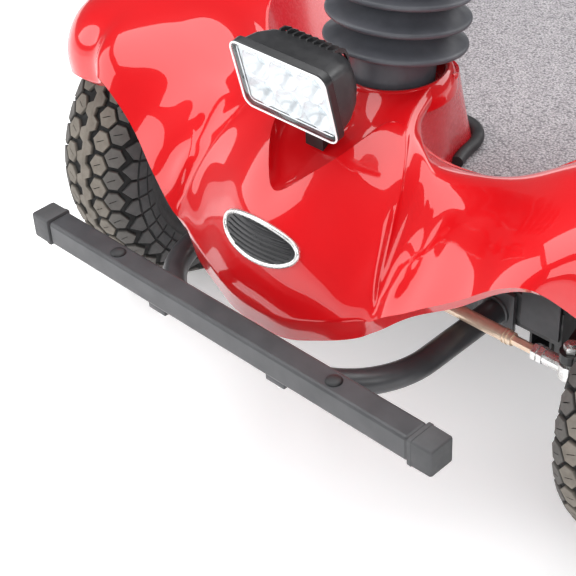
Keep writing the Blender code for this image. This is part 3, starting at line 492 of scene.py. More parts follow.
FINISH = {
    "gloss_red": gloss_red(),
    "satin_red": satin_red(),
    "frame_black": coated_metal("frame_black", (0.012, 0.012, 0.013), (0.022, 0.022, 0.024),
                                worn=(0.10, 0.10, 0.10)),
    "bumper_black": coated_metal("bumper_black", (0.034, 0.034, 0.037), (0.054, 0.054, 0.058),
                                 rough=(0.30, 0.42)),
    "cap_plastic": moulded_plastic("cap_plastic", (0.045, 0.045, 0.047), (0.065, 0.065, 0.068), 0.6),
    "rubber_black": soft_rubber("rubber_black", (0.010, 0.010, 0.011), (0.024, 0.024, 0.026), 0.5),
    "boot_rubber": soft_rubber("boot_rubber", (0.048, 0.050, 0.058), (0.074, 0.076, 0.088), 0.42),
    "tyre_rubber": tyre_rubber(),
    "rim_dark": coated_metal("rim_dark", (0.020, 0.020, 0.022), (0.036, 0.036, 0.038),
                             worn=(0.14, 0.14, 0.14)),
    "zinc_gold": plated("zinc_gold", (0.66, 0.50, 0.38), (0.84, 0.68, 0.52), (0.28, 0.42), 0.6),
    "bright_steel": plated("bright_steel", (0.66, 0.65, 0.62), (0.86, 0.86, 0.86), (0.2, 0.36), 0.8),
    "carpet": carpet_pile(),
    "plastic_black": moulded_plastic("plastic_black", (0.014, 0.014, 0.015), (0.026, 0.026, 0.028), 0.38),
    "panel_grey": moulded_plastic("panel_grey", (0.035, 0.035, 0.038), (0.055, 0.055, 0.060), 0.5),
    "reflector": mirror_metal(),
    "lens_clear": clear_lens(),
    "battery_grey": moulded_plastic("battery_grey", (0.035, 0.035, 0.038), (0.06, 0.06, 0.064), 0.5),
    "motor_grey": cast_metal(),
    "badge_dark": coated_metal("badge_dark", (0.010, 0.010, 0.011), (0.020, 0.020, 0.022),
                               rough=(0.18, 0.28)),
    "led_chip": led_chip(),
}


def dress_nodes():
    """Give each CAD node its record slot's finish, and a small radius on metal edges."""
    softened = {"frame_black": 0.9, "bumper_black": 0.8, "zinc_gold": 0.4, "bright_steel": 0.5,
                "panel_grey": 0.5, "battery_grey": 1.0, "motor_grey": 1.0, "plastic_black": 0.6,
                "cap_plastic": 0.8}
    for part in frame["record"]["subparts"]:
        obj = NODES[part["node"]]
        slot = part["material_slot"]
        obj.data.materials.clear()
        obj.data.materials.append(FINISH[slot])
        if slot in softened:
            weld = obj.modifiers.new("weld", "WELD")
            weld.merge_threshold = 1e-5
            edge = obj.modifiers.new("edge", "BEVEL")
            edge.width = softened[slot] * MM
            edge.segments = 2
            edge.limit_method = "ANGLE"
            edge.angle_limit = math.radians(40)
            edge.harden_normals = False
            edge.use_clamp_overlap = True


# ---------------------------------------------------------------- cowl surface

# Half cowl as front-to-back lines from the mid-plane outwards. In each line: lower edge,
# lip, two points up the panel, wing ridge, hood crease, three points over the top, rear edge.
COWL_LINES = [
    [(0, -213, 181), (0, -218, 205), (0, -216, 232), (0, -212, 262), (0, -203, 291), (0, -184, 311),
     (0, -168, 311), (0, -140, 323), (0, -108, 343), (0, -80, 365)],
    [(31, -212, 183), (31, -217, 208), (32, -214, 234), (32, -208, 264), (29, -195, 298),
     (21, -169, 325), (17, -160, 318), (18, -136, 329), (19, -106, 345), (18.7, -76.4, 366)],
    [(61, -207, 193), (63, -211, 218), (65, -206, 240), (66, -197, 266), (60, -174, 307),
     (43, -136, 346), (37, -129, 339), (35, -113, 345), (36, -92, 354), (37, -63.5, 366)],
    [(88, -202, 205), (92, -204, 230), (96, -197, 248), (97, -184, 272), (90, -153, 318),
     (60, -105, 354), (55, -90, 357), (58, -88, 356), (52, -68, 361), (48.5, -44, 366)],
    [(104, -195, 212), (109, -199, 237), (111, -193, 252), (111, -182, 273), (106, -161, 301),
     (96, -132, 330), (82, -108, 346), (68, -88, 353), (56, -62, 359), (49, -24, 365)],
    [(113, -190, 218), (121, -198, 240), (122, -195, 246), (121, -191, 251), (119, -186, 257),
     (112, -164, 287), (98, -126, 327), (80, -98, 345), (60, -64, 354), (46, 0, 360)],
    [(125, -188, 228), (133, -197, 250), (133, -189, 260), (131, -180, 271), (129, -171, 279),
     (120, -151, 293), (107, -121, 320), (89, -97, 339), (65, -71, 346), (48, -30, 351)],
    [(143, -186, 245), (149, -192, 259), (147, -179, 271), (144, -166, 283), (140, -154, 292),
     (131, -138, 301), (117, -116, 321), (97, -96, 334), (72, -76, 339), (46, -51, 342)],
    [(162, -179, 258), (168, -186, 271), (165, -169, 287), (159, -150, 301), (152, -132, 312),
     (142, -118, 317), (127, -104, 324), (105, -90, 328), (80, -76, 326), (54, -60, 325)],
    [(188, -169, 272), (195, -176, 287), (192, -156, 306), (185, -134, 319), (177, -114, 327),
     (167, -100, 328), (152, -88, 327), (132, -76, 324), (108, -66, 318), (84, -54, 309)],
    [(217, -163, 295), (221, -172, 307), (219, -154, 325), (214, -130, 338), (207, -106, 343),
     (198, -90, 343), (186, -76, 340), (170, -62, 334), (150, -50, 322), (128, -37, 304)],
    [(243, -161, 311), (247, -169, 321), (246, -155, 337), (243, -130, 349), (238, -100, 355),
     (231, -78, 356), (221, -60, 355), (207, -46, 351), (188, -33, 340), (168, -21, 321)],
    [(263, -155, 311), (266, -161, 317), (268, -155, 335), (269, -134, 350), (267, -100, 358),
     (262, -66, 361), (254, -38, 361), (243, -16, 359), (227, 0, 354), (206, 15, 344)],
    [(284, -139, 290), (285, -144, 295), (287, -145, 318), (289, -132, 343), (290, -100, 357),
     (288, -50, 362), (281, 0, 361), (270, 40, 359), (256, 66, 355), (238, 88, 346)],
    [(312, -141, 287), (312, -146, 292), (313, -145, 316), (315, -130, 342), (316, -94, 356),
     (315, -36, 361), (309, 24, 360), (297, 84, 353), (278, 126, 341), (252, 158, 322)],
    [(341, -132, 281), (342, -137, 286), (343, -136, 312), (344, -118, 339), (344, -80, 353),
     (342, -20, 358), (338, 46, 356), (330, 110, 342), (318, 160, 318), (304, 194, 291)],
    [(366, -112, 265), (368, -116, 270), (370, -113, 300), (370, -96, 326), (368, -60, 342),
     (366, -8, 348), (364, 50, 346), (360, 110, 331), (355, 156, 306), (350, 188, 277)],
    [(376, -104, 265), (379, -105, 270), (384, -86, 289), (387, -58, 303), (388, -22, 311),
     (388, 20, 314), (388, 66, 312), (384, 112, 302), (376, 156, 284), (364, 188, 266)],
]
LIP_POINT = 1
RIDGE_POINT = 4
HOOD_POINT = 5
RIDGE_SHARPNESS = {5: 0.8, 6: 1.0, 7: 1.0, 8: 0.7}      # by line
HOOD_SHARPNESS = {0: 0.9, 1: 1.0, 2: 1.0, 3: 0.35}
COWL_WALL = 3.0

# Footwell wall and column housing as (top, foot) pairs, from behind the column outwards.
FOOT_Z = here(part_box("floor_mat")[1]).z + 0.6
WALL_LINES = [
    ((0, 24, 356), (0, 68)), ((30, 18, 356), (20, 55)), ((44, -2, 357), (26, 30)),
    ((48, -16, 355), (32, 10)), ((48.5, -33, 350), (40, -12)), ((47, -51, 342), (46, -36)),
    ((54, -60, 324), (60, -48)), ((84, -54, 308), (86, -46)), ((128, -37, 303), (128, -30)),
    ((168, -21, 320), (158, -10)), ((206, 15, 343), (172, 22)), ((238, 88, 345), (176, 88)),
    ((250, 150, 324), (176, 150)),
]
COLLAR_CENTRE = (0.0, -30.0, 0.0)


def knots_of(points, axis):
    """Spline knots from the mean chord length between neighbours along an axis."""
    chords = np.sqrt((np.diff(points, axis=axis) ** 2).sum(-1)).mean(1 - axis)
    return np.concatenate([[0.0], np.cumsum(np.sqrt(chords))])


def spread(knots, count):
    """Places that cut each span between knots into count equal steps."""
    steps = [a + (b - a) * s / count for a, b in zip(knots, knots[1:]) for s in range(count)]
    return np.array(steps + [knots[-1]])


def creased(knots, values, places, breaks):
    """Spline that may turn sharply at the knots numbered in breaks."""
    ends = [0] + breaks + [len(knots) - 1]
    out = np.zeros((len(places),) + values.shape[1:])
    for a, b in zip(ends, ends[1:]):
        inside = (places >= knots[a] - 1e-9) & (places <= knots[b] + 1e-9)
        out[inside] = spline(knots[a:b + 1], values[a:b + 1], places[inside])
    return out


def cowl_grid(along, across):
    """Cowl surface points, lines x points x 3, with along and across steps per span."""
    table = np.array(COWL_LINES, float)
    knots = knots_of(table, 0)
    mirrored = table[2:0:-1] * np.array([-1, 1, 1])
    places = spread(knots, along)
    lines = spline(np.concatenate([-knots[2:0:-1], knots]),
                   np.concatenate([mirrored, table]), places).transpose(1, 0, 2)
    rows = knots_of(table, 1)
    steps = spread(rows, across)
    grid = creased(rows, lines, steps, [LIP_POINT])
    sharpened = grid.copy()
    for point, marks in ((RIDGE_POINT, RIDGE_SHARPNESS), (HOOD_POINT, HOOD_SHARPNESS)):
        weights = [marks.get(line, 0.0) for line in range(len(table))]
        share = np.interp(places, knots, weights)[None, :, None]
        sharpened += (creased(rows, lines, steps, [LIP_POINT, point]) - grid) * share
    return sharpened.transpose(1, 0, 2)


# ---------------------------------------------------------------- body shell

def solid(bm, thickness):
    """Shell of an open skin, thickened inwards, as a new bmesh."""
    mesh = bpy.data.meshes.new("skin")
    bmesh.ops.recalc_face_normals(bm, faces=bm.faces)
    bm.to_mesh(mesh)
    bm.free()
    holder = bpy.data.objects.new("skin", mesh)
    bpy.context.scene.collection.objects.link(holder)
    wall = holder.modifiers.new("thickness", "SOLIDIFY")
    wall.thickness = thickness * MM
    wall.offset = -1.0
    graph = bpy.context.evaluated_depsgraph_get()
    graph.update()
    done = bpy.data.meshes.new_from_object(holder.evaluated_get(graph))
    made = bmesh.new()
    made.from_mesh(done)
    bpy.data.objects.remove(holder, do_unlink=True)
    bpy.data.meshes.remove(done)
    return made


def cowl_skin():
    rows = [[at(point) for point in line] for line in cowl_grid(8, 8)]
    return mirrored(skin(rows))


def upward(bm):
    """Flip the whole skin if its faces point down, so that thickness goes inwards."""
    bmesh.ops.recalc_face_normals(bm, faces=bm.faces)
    if sum(face.normal.z * face.calc_area() for face in bm.faces) < 0:
        bmesh.ops.reverse_faces(bm, faces=bm.faces[:])
    return bm


def body_shell():
    shell = solid(upward(cowl_skin()), COWL_WALL)
    piece("cowl_shell", shell, "gloss_red", "chassis", ["front_cowl"])
    grid = cowl_grid(8, 1)
    rim = grid[:, -1]
    beads = []
    for side in (1, -1):
        path = [at((side * x, y, z - 1.2)) for x, y, z in rim[36:]]
        beads.append(tube(path, 2.1, 10))
    piece("cowl_rear_bead", joined(beads), "gloss_red", "chassis")
    collar = [(44.6, 350), (44.4, 363), (45.2, 365.6), (46.8, 367), (48.6, 367.2), (50.4, 366),
              (52.4, 363), (54.6, 358.6), (56.4, 353), (56.6, 346), (52, 344), (47, 345)]
    ring = turned(collar, Matrix.Translation(at(COLLAR_CENTRE)), 96)
    piece("cowl_collar", ring, "gloss_red", "chassis")
    tops = smooth_path([top for top, _ in WALL_LINES], 90)
    feet = smooth_path([(*foot, FOOT_Z) for _, foot in WALL_LINES], 90)
    rows = []
    for top, foot in zip(tops, feet):
        rows.append([top.lerp(foot, share) for share in np.linspace(0, 1, 13)])
    wall = mirrored(skin(rows))
    piece("footwell_wall", solid(wall, 2.6), "gloss_red", "chassis", finish="satin_red")


def on_nose(spots):
    """Place and outward normal of the nose skin behind each (x, z) seen from the front."""
    bm = cowl_skin()
    tree = BVHTree.FromBMesh(bm)
    bm.free()
    found = []
    for x, z in spots:
        place, normal = tree.ray_cast(at((x, -400, z)), Vector((0, 1, 0)))[:2]
        found.append((place, normal if normal.y < 0 else -normal))
    return found


BADGE_CENTRE = here(middle("badge_plate"))
BADGE_HALF = [size / MM / 2 for size in (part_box("badge_plate")[1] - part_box("badge_plate")[0])]


def badge():
    """Plain oval plate with a bright rim and a dark field with seven plain ribs."""
    sides = 72
    half_x, half_z = BADGE_HALF[0], BADGE_HALF[2]
    centre_z = BADGE_CENTRE.z

    def oval(rings, lifts):
        spots = [(0.0, centre_z)]
        spots += [(ring * half_x * math.cos(math.tau * k / sides),
                   centre_z + ring * half_z * math.sin(math.tau * k / sides))
                  for ring in rings for k in range(sides)]
        found = on_nose(spots)
        bm = bmesh.new()
        lift = [lifts[0]] + [lifts[n] for n in range(len(rings)) for _ in range(sides)]
        verts = [bm.verts.new(place + normal * up * MM) for (place, normal), up in zip(found, lift)]
        for k in range(sides):
            after = (k + 1) % sides
            bm.faces.new((verts[0], verts[1 + k], verts[1 + after]))
            for n in range(len(rings) - 1):
                a, b = 1 + n * sides, 1 + (n + 1) * sides
                bm.faces.new((verts[a + k], verts[b + k], verts[b + after], verts[a + after]))
        return bm

    field_rings = (0.3, 0.6, 0.86, 0.88)
    plate = oval(field_rings, (1.7, 1.7, 1.7, 1.7))
    piece("badge_field", plate, "badge_dark", "chassis", ["badge_plate"])
    rim_path = []
    for k in range(sides):
        angle = math.tau * k / sides
        rim_path.append((0.93 * half_x * math.cos(angle), centre_z + 0.9 * half_z * math.sin(angle)))
    found = on_nose(rim_path)
    rim = tube([place + normal * 1.2 * MM for place, normal in found], 2.3, 12, closed=True)
    piece("badge_rim", rim, "bright_steel", "chassis")
    ribs = []
    for number in range(-3, 4):
        z = centre_z + number * half_z * 0.22
        reach = half_x * 0.80 * math.sqrt(max(0.05, 1 - (number * 0.22 / 0.86) ** 2))
        line = on_nose([(reach * share, z) for share in np.linspace(-1, 1, 25)])
        ribs.append(tube([place + normal * 1.9 * MM for place, normal in line], 0.75, 8))
    piece("badge_ribs", joined(ribs), "badge_dark", "chassis")


# ---------------------------------------------------------------- tyres and rims

TYRE_RADIUS = (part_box("tyre_fl")[1].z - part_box("tyre_fl")[0].z) / 2 / MM
BLOCK_HEIGHT = 3.6
TREAD_PITCHES = 38
# Carcass section from the crown to the bead: (radius, distance from the wheel's middle)
CROWN = TYRE_RADIUS - BLOCK_HEIGHT
CARCASS = [(CROWN, 0.0), (CROWN - 1.6, 20.0), (CROWN - 6.2, 35.0), (CROWN - 15.0, 45.6),
           (CROWN - 28.0, 50.4), (CROWN - 41.0, 50.8), (CROWN - 53.0, 47.2), (CROWN - 65.0, 40.4),
           (CROWN - 75.0, 33.6), (CROWN - 78.0, 31.0)]
SIDE_RINGS = ((49.0, 1.3), (56.5, 0.9), (66.0, 1.1))     # depth below the crown, height
# Hexagon rows: distance along the section, pitch offset, half length, running-face share
INNER_ROW = (21.0, 0.0, 10.6, 1.0)
OUTER_ROW = (38.2, 0.5, 10.8, 0.35)
SIDE_LUGS = ((64.6, 74.2, 0.44, 1.5), (76.4, 83.6, 0.45, 1.1))     # near, far, half pitch, height
SECTION_STEPS = 239


class Section:
    """Carcass section read by distance along it from the crown."""

    def __init__(self):
        points = np.array(CARCASS)
        knots = np.concatenate([[0], np.cumsum(np.linalg.norm(np.diff(points, axis=0), axis=1))])
        self.length = knots[-1]
        self.places = np.linspace(0, self.length, SECTION_STEPS + 1)
        self.line = spline(knots, points, self.places)
        self.run = np.gradient(self.line, self.places, axis=0)
        self.run /= np.linalg.norm(self.run, axis=1)[:, None]

    def read(self, along):
        """(radius, offset, radial part and side part of the outward normal); along may be negative."""
        side = 1.0 if along >= 0 else -1.0
        k = min(int(abs(along) / self.length * SECTION_STEPS), SECTION_STEPS - 1)
        share = abs(along) / self.length * SECTION_STEPS - k
        radius, offset = self.line[k] * (1 - share) + self.line[k + 1] * share
        dr, dx = self.run[k] * (1 - share) + self.run[k + 1] * share
        return radius, side * offset, dx, -side * dr


SECTION = Section()


def on_tyre(along, pitch, height):
    """Place in metres in the wheel's own frame (local Z is the axle)."""
    radius, offset, out_r, out_x = SECTION.read(along)
    angle = math.tau * pitch / TREAD_PITCHES
    r = (radius + out_r * height) * MM
    return Vector((r * math.cos(angle), r * math.sin(angle), (offset + out_x * height) * MM))


class Tread:
    """Collects tread blocks with their painted groove shade marks and running-face marks."""

    def __init__(self):
        self.bm = bmesh.new()
        self.painted_groove_shade = []
        self.running = []

    def vert(self, along, pitch, height, painted_groove_shade, running):
        self.painted_groove_shade.append(painted_groove_shade)
        self.running.append(running)
        return self.bm.verts.new(on_tyre(along, pitch, height))

    def block(self, outline, height, running, sipe=None, draft=0.6, edge=0.7):
        """Raised block over an outline of (along, pitch) points; sipe is a matching inner ring."""
        centre_s = sum(s for s, _ in outline) / len(outline)
        centre_p = sum(p for _, p in outline) / len(outline)
        pitch_mm = math.tau * TYRE_RADIUS / TREAD_PITCHES

        def ring(inset, up, painted_groove_shade):
            made = []
            for s, p in outline:
                ds, dp = s - centre_s, (p - centre_p) * pitch_mm
                keep = max(0.1, 1 - inset / max(1e-6, math.hypot(ds, dp)))
                made.append(self.vert(centre_s + ds * keep, centre_p + dp * keep / pitch_mm, up,
                                      painted_groove_shade, running))
            return made

        # painted shade: the groove mark is full at the foot of each block, a quarter just under its top edge, none
        # on its top
        rings = [ring(-draft, -0.6, 1.0), ring(0.0, height - edge, 0.25), ring(edge, height, 0.0)]
        if sipe:
            # painted shade: each sipe is marked lightly at its mouth and fully at its bottom
            rings.append([self.vert(s, p, height, 0.1, running) for s, p in sipe])
            rings.append([self.vert(s, p, height - 2.6, 1.0, running) for s, p in sipe])
        for low, high in zip(rings, rings[1:]):
            for k in range(len(low)):
                after = (k + 1) % len(low)
                self.bm.faces.new((low[k], low[after], high[after], high[k]))
        if sipe:
            self.bm.faces.new(rings[-1])
        else:
            top = self.vert(centre_s, centre_p, height, 0.0, running)
            for k in range(len(outline)):
                self.bm.faces.new((rings[-1][k], rings[-1][(k + 1) % len(outline)], top))


def hexagon(centre, pitch, half_s, half_p):
    """Block outline with points towards the sides and flats towards its neighbours."""
    return [(centre + half_s, pitch), (centre + half_s * 0.42, pitch + half_p),
            (centre - half_s * 0.42, pitch + half_p), (centre - half_s, pitch),
            (centre - half_s * 0.42, pitch - half_p), (centre + half_s * 0.42, pitch - half_p)]


def slot_in(centre, pitch, half_length, half_width, slant):
    """Six points of a thin slanted slot, in step with hexagon()."""
    points = []
    for s, p in ((1.0, 0.0), (0.6, 1.0), (-0.6, 1.0), (-1.0, 0.0), (-0.6, -1.0), (0.6, -1.0)):
        along = centre + s * half_length
        points.append((along, pitch + p * half_width + s * half_length * slant))
    return points


def tread_blocks(tread):
    """Two rows of sipped hexagons, shoulder blocks and side lugs, on both sides."""
    for number in range(TREAD_PITCHES):
        for side in (1.0, -1.0):
            for centre, pitch, half_s, running in INNER_ROW, OUTER_ROW:
                block = hexagon(centre, number + pitch, half_s, 0.40)
                sipe = slot_in(centre - 1.0, number + pitch, 5.0, 0.018, 0.022)
                tread.block([(side * s, p) for s, p in block], BLOCK_HEIGHT, running,
                            [(side * s, p) for s, p in sipe])
            shoulder = [(62.0, 0.43), (56.5, 0.43), (46.8, 0.0), (56.5, -0.43), (62.0, -0.43)]
            tread.block([(side * s, number + p) for s, p in shoulder], 2.8, 0.1)
            for near, far, half_p, height in SIDE_LUGS:
                lug = [(near, half_p), (far, half_p), (far, -half_p), (near, -half_p)]
                tread.block([(side * s, number + p) for s, p in lug], height, 0.0, draft=0.3, edge=0.5)


def centre_rib(tread):
    """Closed band with zigzag flanks and a fine mould seam."""
    flank = []
    for number in range(TREAD_PITCHES):
        for share, swing in ((0.0, 3.4), (0.34, 3.4), (0.5, -3.4), (0.84, -3.4)):
            flank.append((number + share - 0.17, swing))
    # third value of each point is its painted groove shade: full at the foot of the flanks, a quarter under the
    # top edge, none on top
    across = [(-7.6, -0.6, 1.0), (-7.0, BLOCK_HEIGHT - 0.7, 0.25), (-6.3, BLOCK_HEIGHT, 0.0),
              (-0.5, BLOCK_HEIGHT, 0.0), (0.0, BLOCK_HEIGHT + 0.35, 0.0), (0.5, BLOCK_HEIGHT, 0.0),
              (6.3, BLOCK_HEIGHT, 0.0), (7.0, BLOCK_HEIGHT - 0.7, 0.25), (7.6, -0.6, 1.0)]
    rows = []
    for pitch, swing in flank:
        rows.append([tread.vert(s + (swing if abs(s) > 1 else 0.0), pitch, up, dark, 1.0)
                     for s, up, dark in across])
    for k in range(len(rows)):
        low, high = rows[k], rows[(k + 1) % len(rows)]
        for step in range(len(across) - 1):
            tread.bm.faces.new((low[step], low[step + 1], high[step + 1], high[step]))


def carcass(tread):
    """Carcass with its moulded side rings, and the hidden inner face back to the crown."""
    sides_round = TREAD_PITCHES * 3
    steps = np.linspace(-1, 1, 97) * SECTION.length
    rows = []
    for k in range(sides_round):
        pitch = k * TREAD_PITCHES / sides_round
        row = []
        for along in steps:
            below = CROWN - SECTION.read(along)[0]
            lift = sum(up * math.exp(-((below - deep) / 1.1) ** 2) for deep, up in SIDE_RINGS)
            # painted shade: the carcass is marked nearly full between the tread blocks, about half between the
            # side lugs, not at all on the plain sidewall
            painted_shade_share = 0.95 if abs(along) < 63 else 0.55 * (abs(along) < 84)
            row.append(tread.vert(along, pitch, lift, painted_shade_share, 0.0))
        row += [tread.vert(0.0, pitch, -deep, 1.0, 0.0) for deep in (72.0, 42.0)]
        rows.append(row)
    for k in range(sides_round):
        low, high = rows[k], rows[(k + 1) % sides_round]
        for step in range(len(low)):
            after = (step + 1) % len(low)
            tread.bm.faces.new((low[step], low[after], high[after], high[step]))


def tyres():
    tread = Tread()
    tread_blocks(tread)
    centre_rib(tread)
    carcass(tread)
    shared = bpy.data.meshes.new("tread")
    bmesh.ops.recalc_face_normals(tread.bm, faces=tread.bm.faces)
    tread.bm.to_mesh(shared)
    tread.bm.free()
    for name, values in (("painted_groove_shade", tread.painted_groove_shade), ("running", tread.running)):
        mark = shared.attributes.new(name, "FLOAT", "POINT")
        mark.data.foreach_set("value", values)
    shared.materials.append(FINISH["tyre_rubber"])
    shared.shade_smooth()
    shared.set_sharp_from_angle(angle=math.radians(32))
    for axle in ("f", "r"):
        for tag, side in SIDES:
            name = axle + tag
            obj = bpy.data.objects.new("tyre_tread_" + name, shared.copy())
            bpy.context.scene.collection.objects.link(obj)
            obj.data.transform(along_x(middle("tyre_" + name), side))
            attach(obj, "wheel_" + name)
            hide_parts("tyre_" + name)


# Solids of revolution as (radius, height from the wheel's middle)
RIM_BOLT = [(0.0, 15.8), (5.4, 15.8), (6.2, 14.9), (6.2, 10.5), (8.6, 10.5), (8.6, 9.0), (0.0, 9.0)]
VALVE = [(0.0, 36.0), (2.2, 36.0), (2.6, 34.8), (2.6, 22.0), (4.4, 20.0), (4.8, 6.0), (0.0, 6.0)]
BOLT_CIRCLE = 38.0
VALVE_CIRCLE = 58.0
RIM_BOLTS = 4


def rims():
    """Pressed steel halves with a drop centre and dish, and bolts."""
    rim_radius = (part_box("rim_inner_fl")[1].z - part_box("rim_inner_fl")[0].z) / 2 / MM
    outer = [(rim_radius, 30.5), (rim_radius - 1.2, 32.6), (rim_radius - 3.4, 33.0),
             (rim_radius - 5.0, 31.4), (rim_radius - 7.0, 26.0), (rim_radius - 8.2, 14.0),
             (rim_radius - 11.0, 8.6), (52.0, 7.4), (44.0, 10.5), (34.0, 11.0), (27.5, 9.0),
             (25.5, 11.0), (24.4, 27.0), (23.0, 28.0), (8.5, 28.0), (8.5, 24.0), (20.0, 23.0),
             (21.0, 1.2), (rim_radius - 12.0, 1.2), (rim_radius - 9.0, 2.0), (rim_radius - 4.0, 10.0),
             (rim_radius - 1.2, 27.0)]
    inner = [(rim_radius, -30.5), (rim_radius - 1.2, -32.6), (rim_radius - 3.4, -33.0),
             (rim_radius - 5.0, -31.4), (rim_radius - 7.0, -26.0), (rim_radius - 8.2, -14.0),
             (rim_radius - 11.0, -8.6), (50.0, -7.4), (28.0, -7.0), (24.5, -9.0), (24.0, -33.0),
             (22.0, -34.0), (12.5, -34.0), (12.5, -30.0), (19.0, -29.0), (20.0, -2.0),
             (rim_radius - 12.0, -2.0), (rim_radius - 9.0, -3.0), (rim_radius - 4.0, -10.0),
             (rim_radius - 1.2, -27.0)]
    for axle in ("f", "r"):
        for tag, side in SIDES:
            name = axle + tag
            turn = along_x(middle("tyre_" + name), side)
            shell = joined([turned(outer, turn, 96), turned(inner, turn, 96)])
            piece("rim_pair_" + name, shell, "rim_dark", "wheel_" + name,
                  ["rim_outer_" + name, "rim_inner_" + name])
            bolts = []
            for number in range(RIM_BOLTS):
                spin = turn @ Matrix.Rotation(math.tau * (number + 0.5) / RIM_BOLTS, 4, "Z")
                place = spin @ Matrix.Translation((BOLT_CIRCLE * MM, 0, 0))
                bolts.append(turned(RIM_BOLT, place, 6, closed=False))
            place = turn @ Matrix.Translation((VALVE_CIRCLE * MM, 0, 0))
            bolts.append(turned(VALVE, place, 20, closed=False))
            piece("rim_bolts_" + name, joined(bolts), "bright_steel", "wheel_" + name)


# ---------------------------------------------------------------- lamp

LAMP_LOW, LAMP_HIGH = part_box("lamp_lens")
LAMP_PIVOT = joint_place("lamp_tilt")
LAMP_TILT = math.radians(12.4)
LAMP_HALF_X = (LAMP_HIGH.x - LAMP_LOW.x) / 2 / MM
LAMP_HALF_Z = 35.0
LAMP_FRONT = -31.0                 # lens face, forward of the lamp's centre
LAMP_CENTRE = at((0, -138, 405))
CUPS = [(column * 31.5, level * 28.6) for column in (-1, 0, 1) for level in (-0.5, 0.5)]
CUP_RADIUS = 14.0
CUP_DEPTH = 11.0
CUP_RIM = 0.12                     # width of the rolled rim, as a share of the cup's radius


def lamp_place(x, depth, z):
    """Place of a lamp point given across, behind the lens face and up, in millimetres."""
    local = Vector((x, LAMP_FRONT + depth, z)) * MM
    return LAMP_CENTRE + Matrix.Rotation(LAMP_TILT, 3, "X") @ local


def lamp_loft(sections, corner=6):
    """Loft through rounded rectangles: (depth, half width, half height, corner radius)."""
    rows = []
    for depth, half_x, half_z, radius in sections:
        rows.append([lamp_place(x, depth, z)
                     for x, z in rounded_rectangle(half_x, half_z, radius, corner)])
    return skin(rows, loop_points=True)


def lamp_shell():
    """Housing with a front ring, a rounded back and nine cooling fins over it."""
    wide, high = LAMP_HALF_X, LAMP_HALF_Z
    shell = capped(lamp_loft([
        (18.5, wide - 5, high - 5, 6), (3.2, wide - 5, high - 5, 6), (2.4, wide - 3.6, high - 3.6, 7),
        (2.2, wide - 1.0, high - 1.0, 9), (3.0, wide, high, 10), (9.4, wide, high, 10),
        (10.4, wide - 1.0, high - 1.0, 9), (10.8, wide - 2.6, high - 2.4, 9),
        (12.0, wide - 3.2, high - 2.8, 9), (24.0, wide - 4.6, high - 4.0, 11),
        (36.0, wide - 8.0, high - 7.0, 15), (44.0, wide - 13.0, high - 11.5, 18),
        (48.5, wide - 19.0, high - 17.0, 17), (50.5, wide - 26.0, high - 22.0, 12)]))
    fins = []
    for number in range(-4, 5):
        x = number * 7.6
        ridge = [(37.0, high - 7.8), (43.0, high - 8.8), (48.6, high - 13.5), (50.4, high - 19.0),
                 (50.8, 0.0), (50.4, -high + 19.0), (48.6, -high + 13.5)]
        rows = []
        for depth, z in ridge:
            lean = 1.0 if z >= 0 else -1.0
            rows.append([lamp_place(x + dx, depth + back * 0.6, z + lean * back)
                         for dx, back in ((-1.3, -1.5), (-0.9, 1.5), (0.9, 1.5), (1.3, -1.5))])
        fins.append(capped(skin(rows, loop_points=True)))
    piece("lamp_shell", joined([shell] + fins), "plastic_black", "lamp", ["lamp_housing"])


def cup_depth(x, z):
    """Depth of the reflector behind its face; negative on the rolled rims."""
    deep = 0.0
    for cup_x, cup_z in CUPS:
        away = math.hypot(x - cup_x, z - cup_z) / CUP_RADIUS
        if away < 1.0:
            deep = max(deep, CUP_DEPTH * (1 - away ** 2) ** 0.8)
        elif away < 1 + CUP_RIM:
            deep = min(deep, -0.8 * math.sin(math.pi * (away - 1) / CUP_RIM))
    return deep


def lamp_reflector():
    """Plate of six deep round cups with rolled rims."""
    half_x, half_z = LAMP_HALF_X - 6.0, LAMP_HALF_Z - 6.0
    cells_x, cells_z = 100, 60
    rows = []
    for j in range(cells_z + 1):
        z = -half_z + 2 * half_z * j / cells_z
        row = []
        for k in range(cells_x + 1):
            x = -half_x + 2 * half_x * k / cells_x
            row.append(lamp_place(x, 5.0 + cup_depth(x, z), z))
        rows.append(row)
    piece("lamp_reflector_cups", solid(skin(rows), 0.8), "reflector", "lamp",
          ["lamp_reflector"])


def lamp_leds():
    """Square chip and clear dome at the bottom of each cup."""
    chips, domes = [], []
    for x, z in CUPS:
        rows = []
        for depth in (15.8, 14.4):
            rows.append([lamp_place(x + dx, depth, z + dz)
                         for dx, dz in ((-2.6, -2.6), (2.6, -2.6), (2.6, 2.6), (-2.6, 2.6))])
        chips.append(capped(skin(rows, loop_points=True)))
        rows = []
        for step in range(9):
            tip = math.radians(90 * step / 8)
            ring = max(0.2, 6.2 * math.cos(tip))
            depth = 14.6 - 5.2 * math.sin(tip)
            rows.append([lamp_place(x + ring * math.cos(a), depth, z + ring * math.sin(a))
                         for a in (math.tau * s / 24 for s in range(24))])
        domes.append(capped(skin(rows, loop_points=True)))
    piece("lamp_led_chips", joined(chips), None, "lamp", finish="led_chip")
    piece("lamp_led_domes", joined(domes), "lens_clear", "lamp")


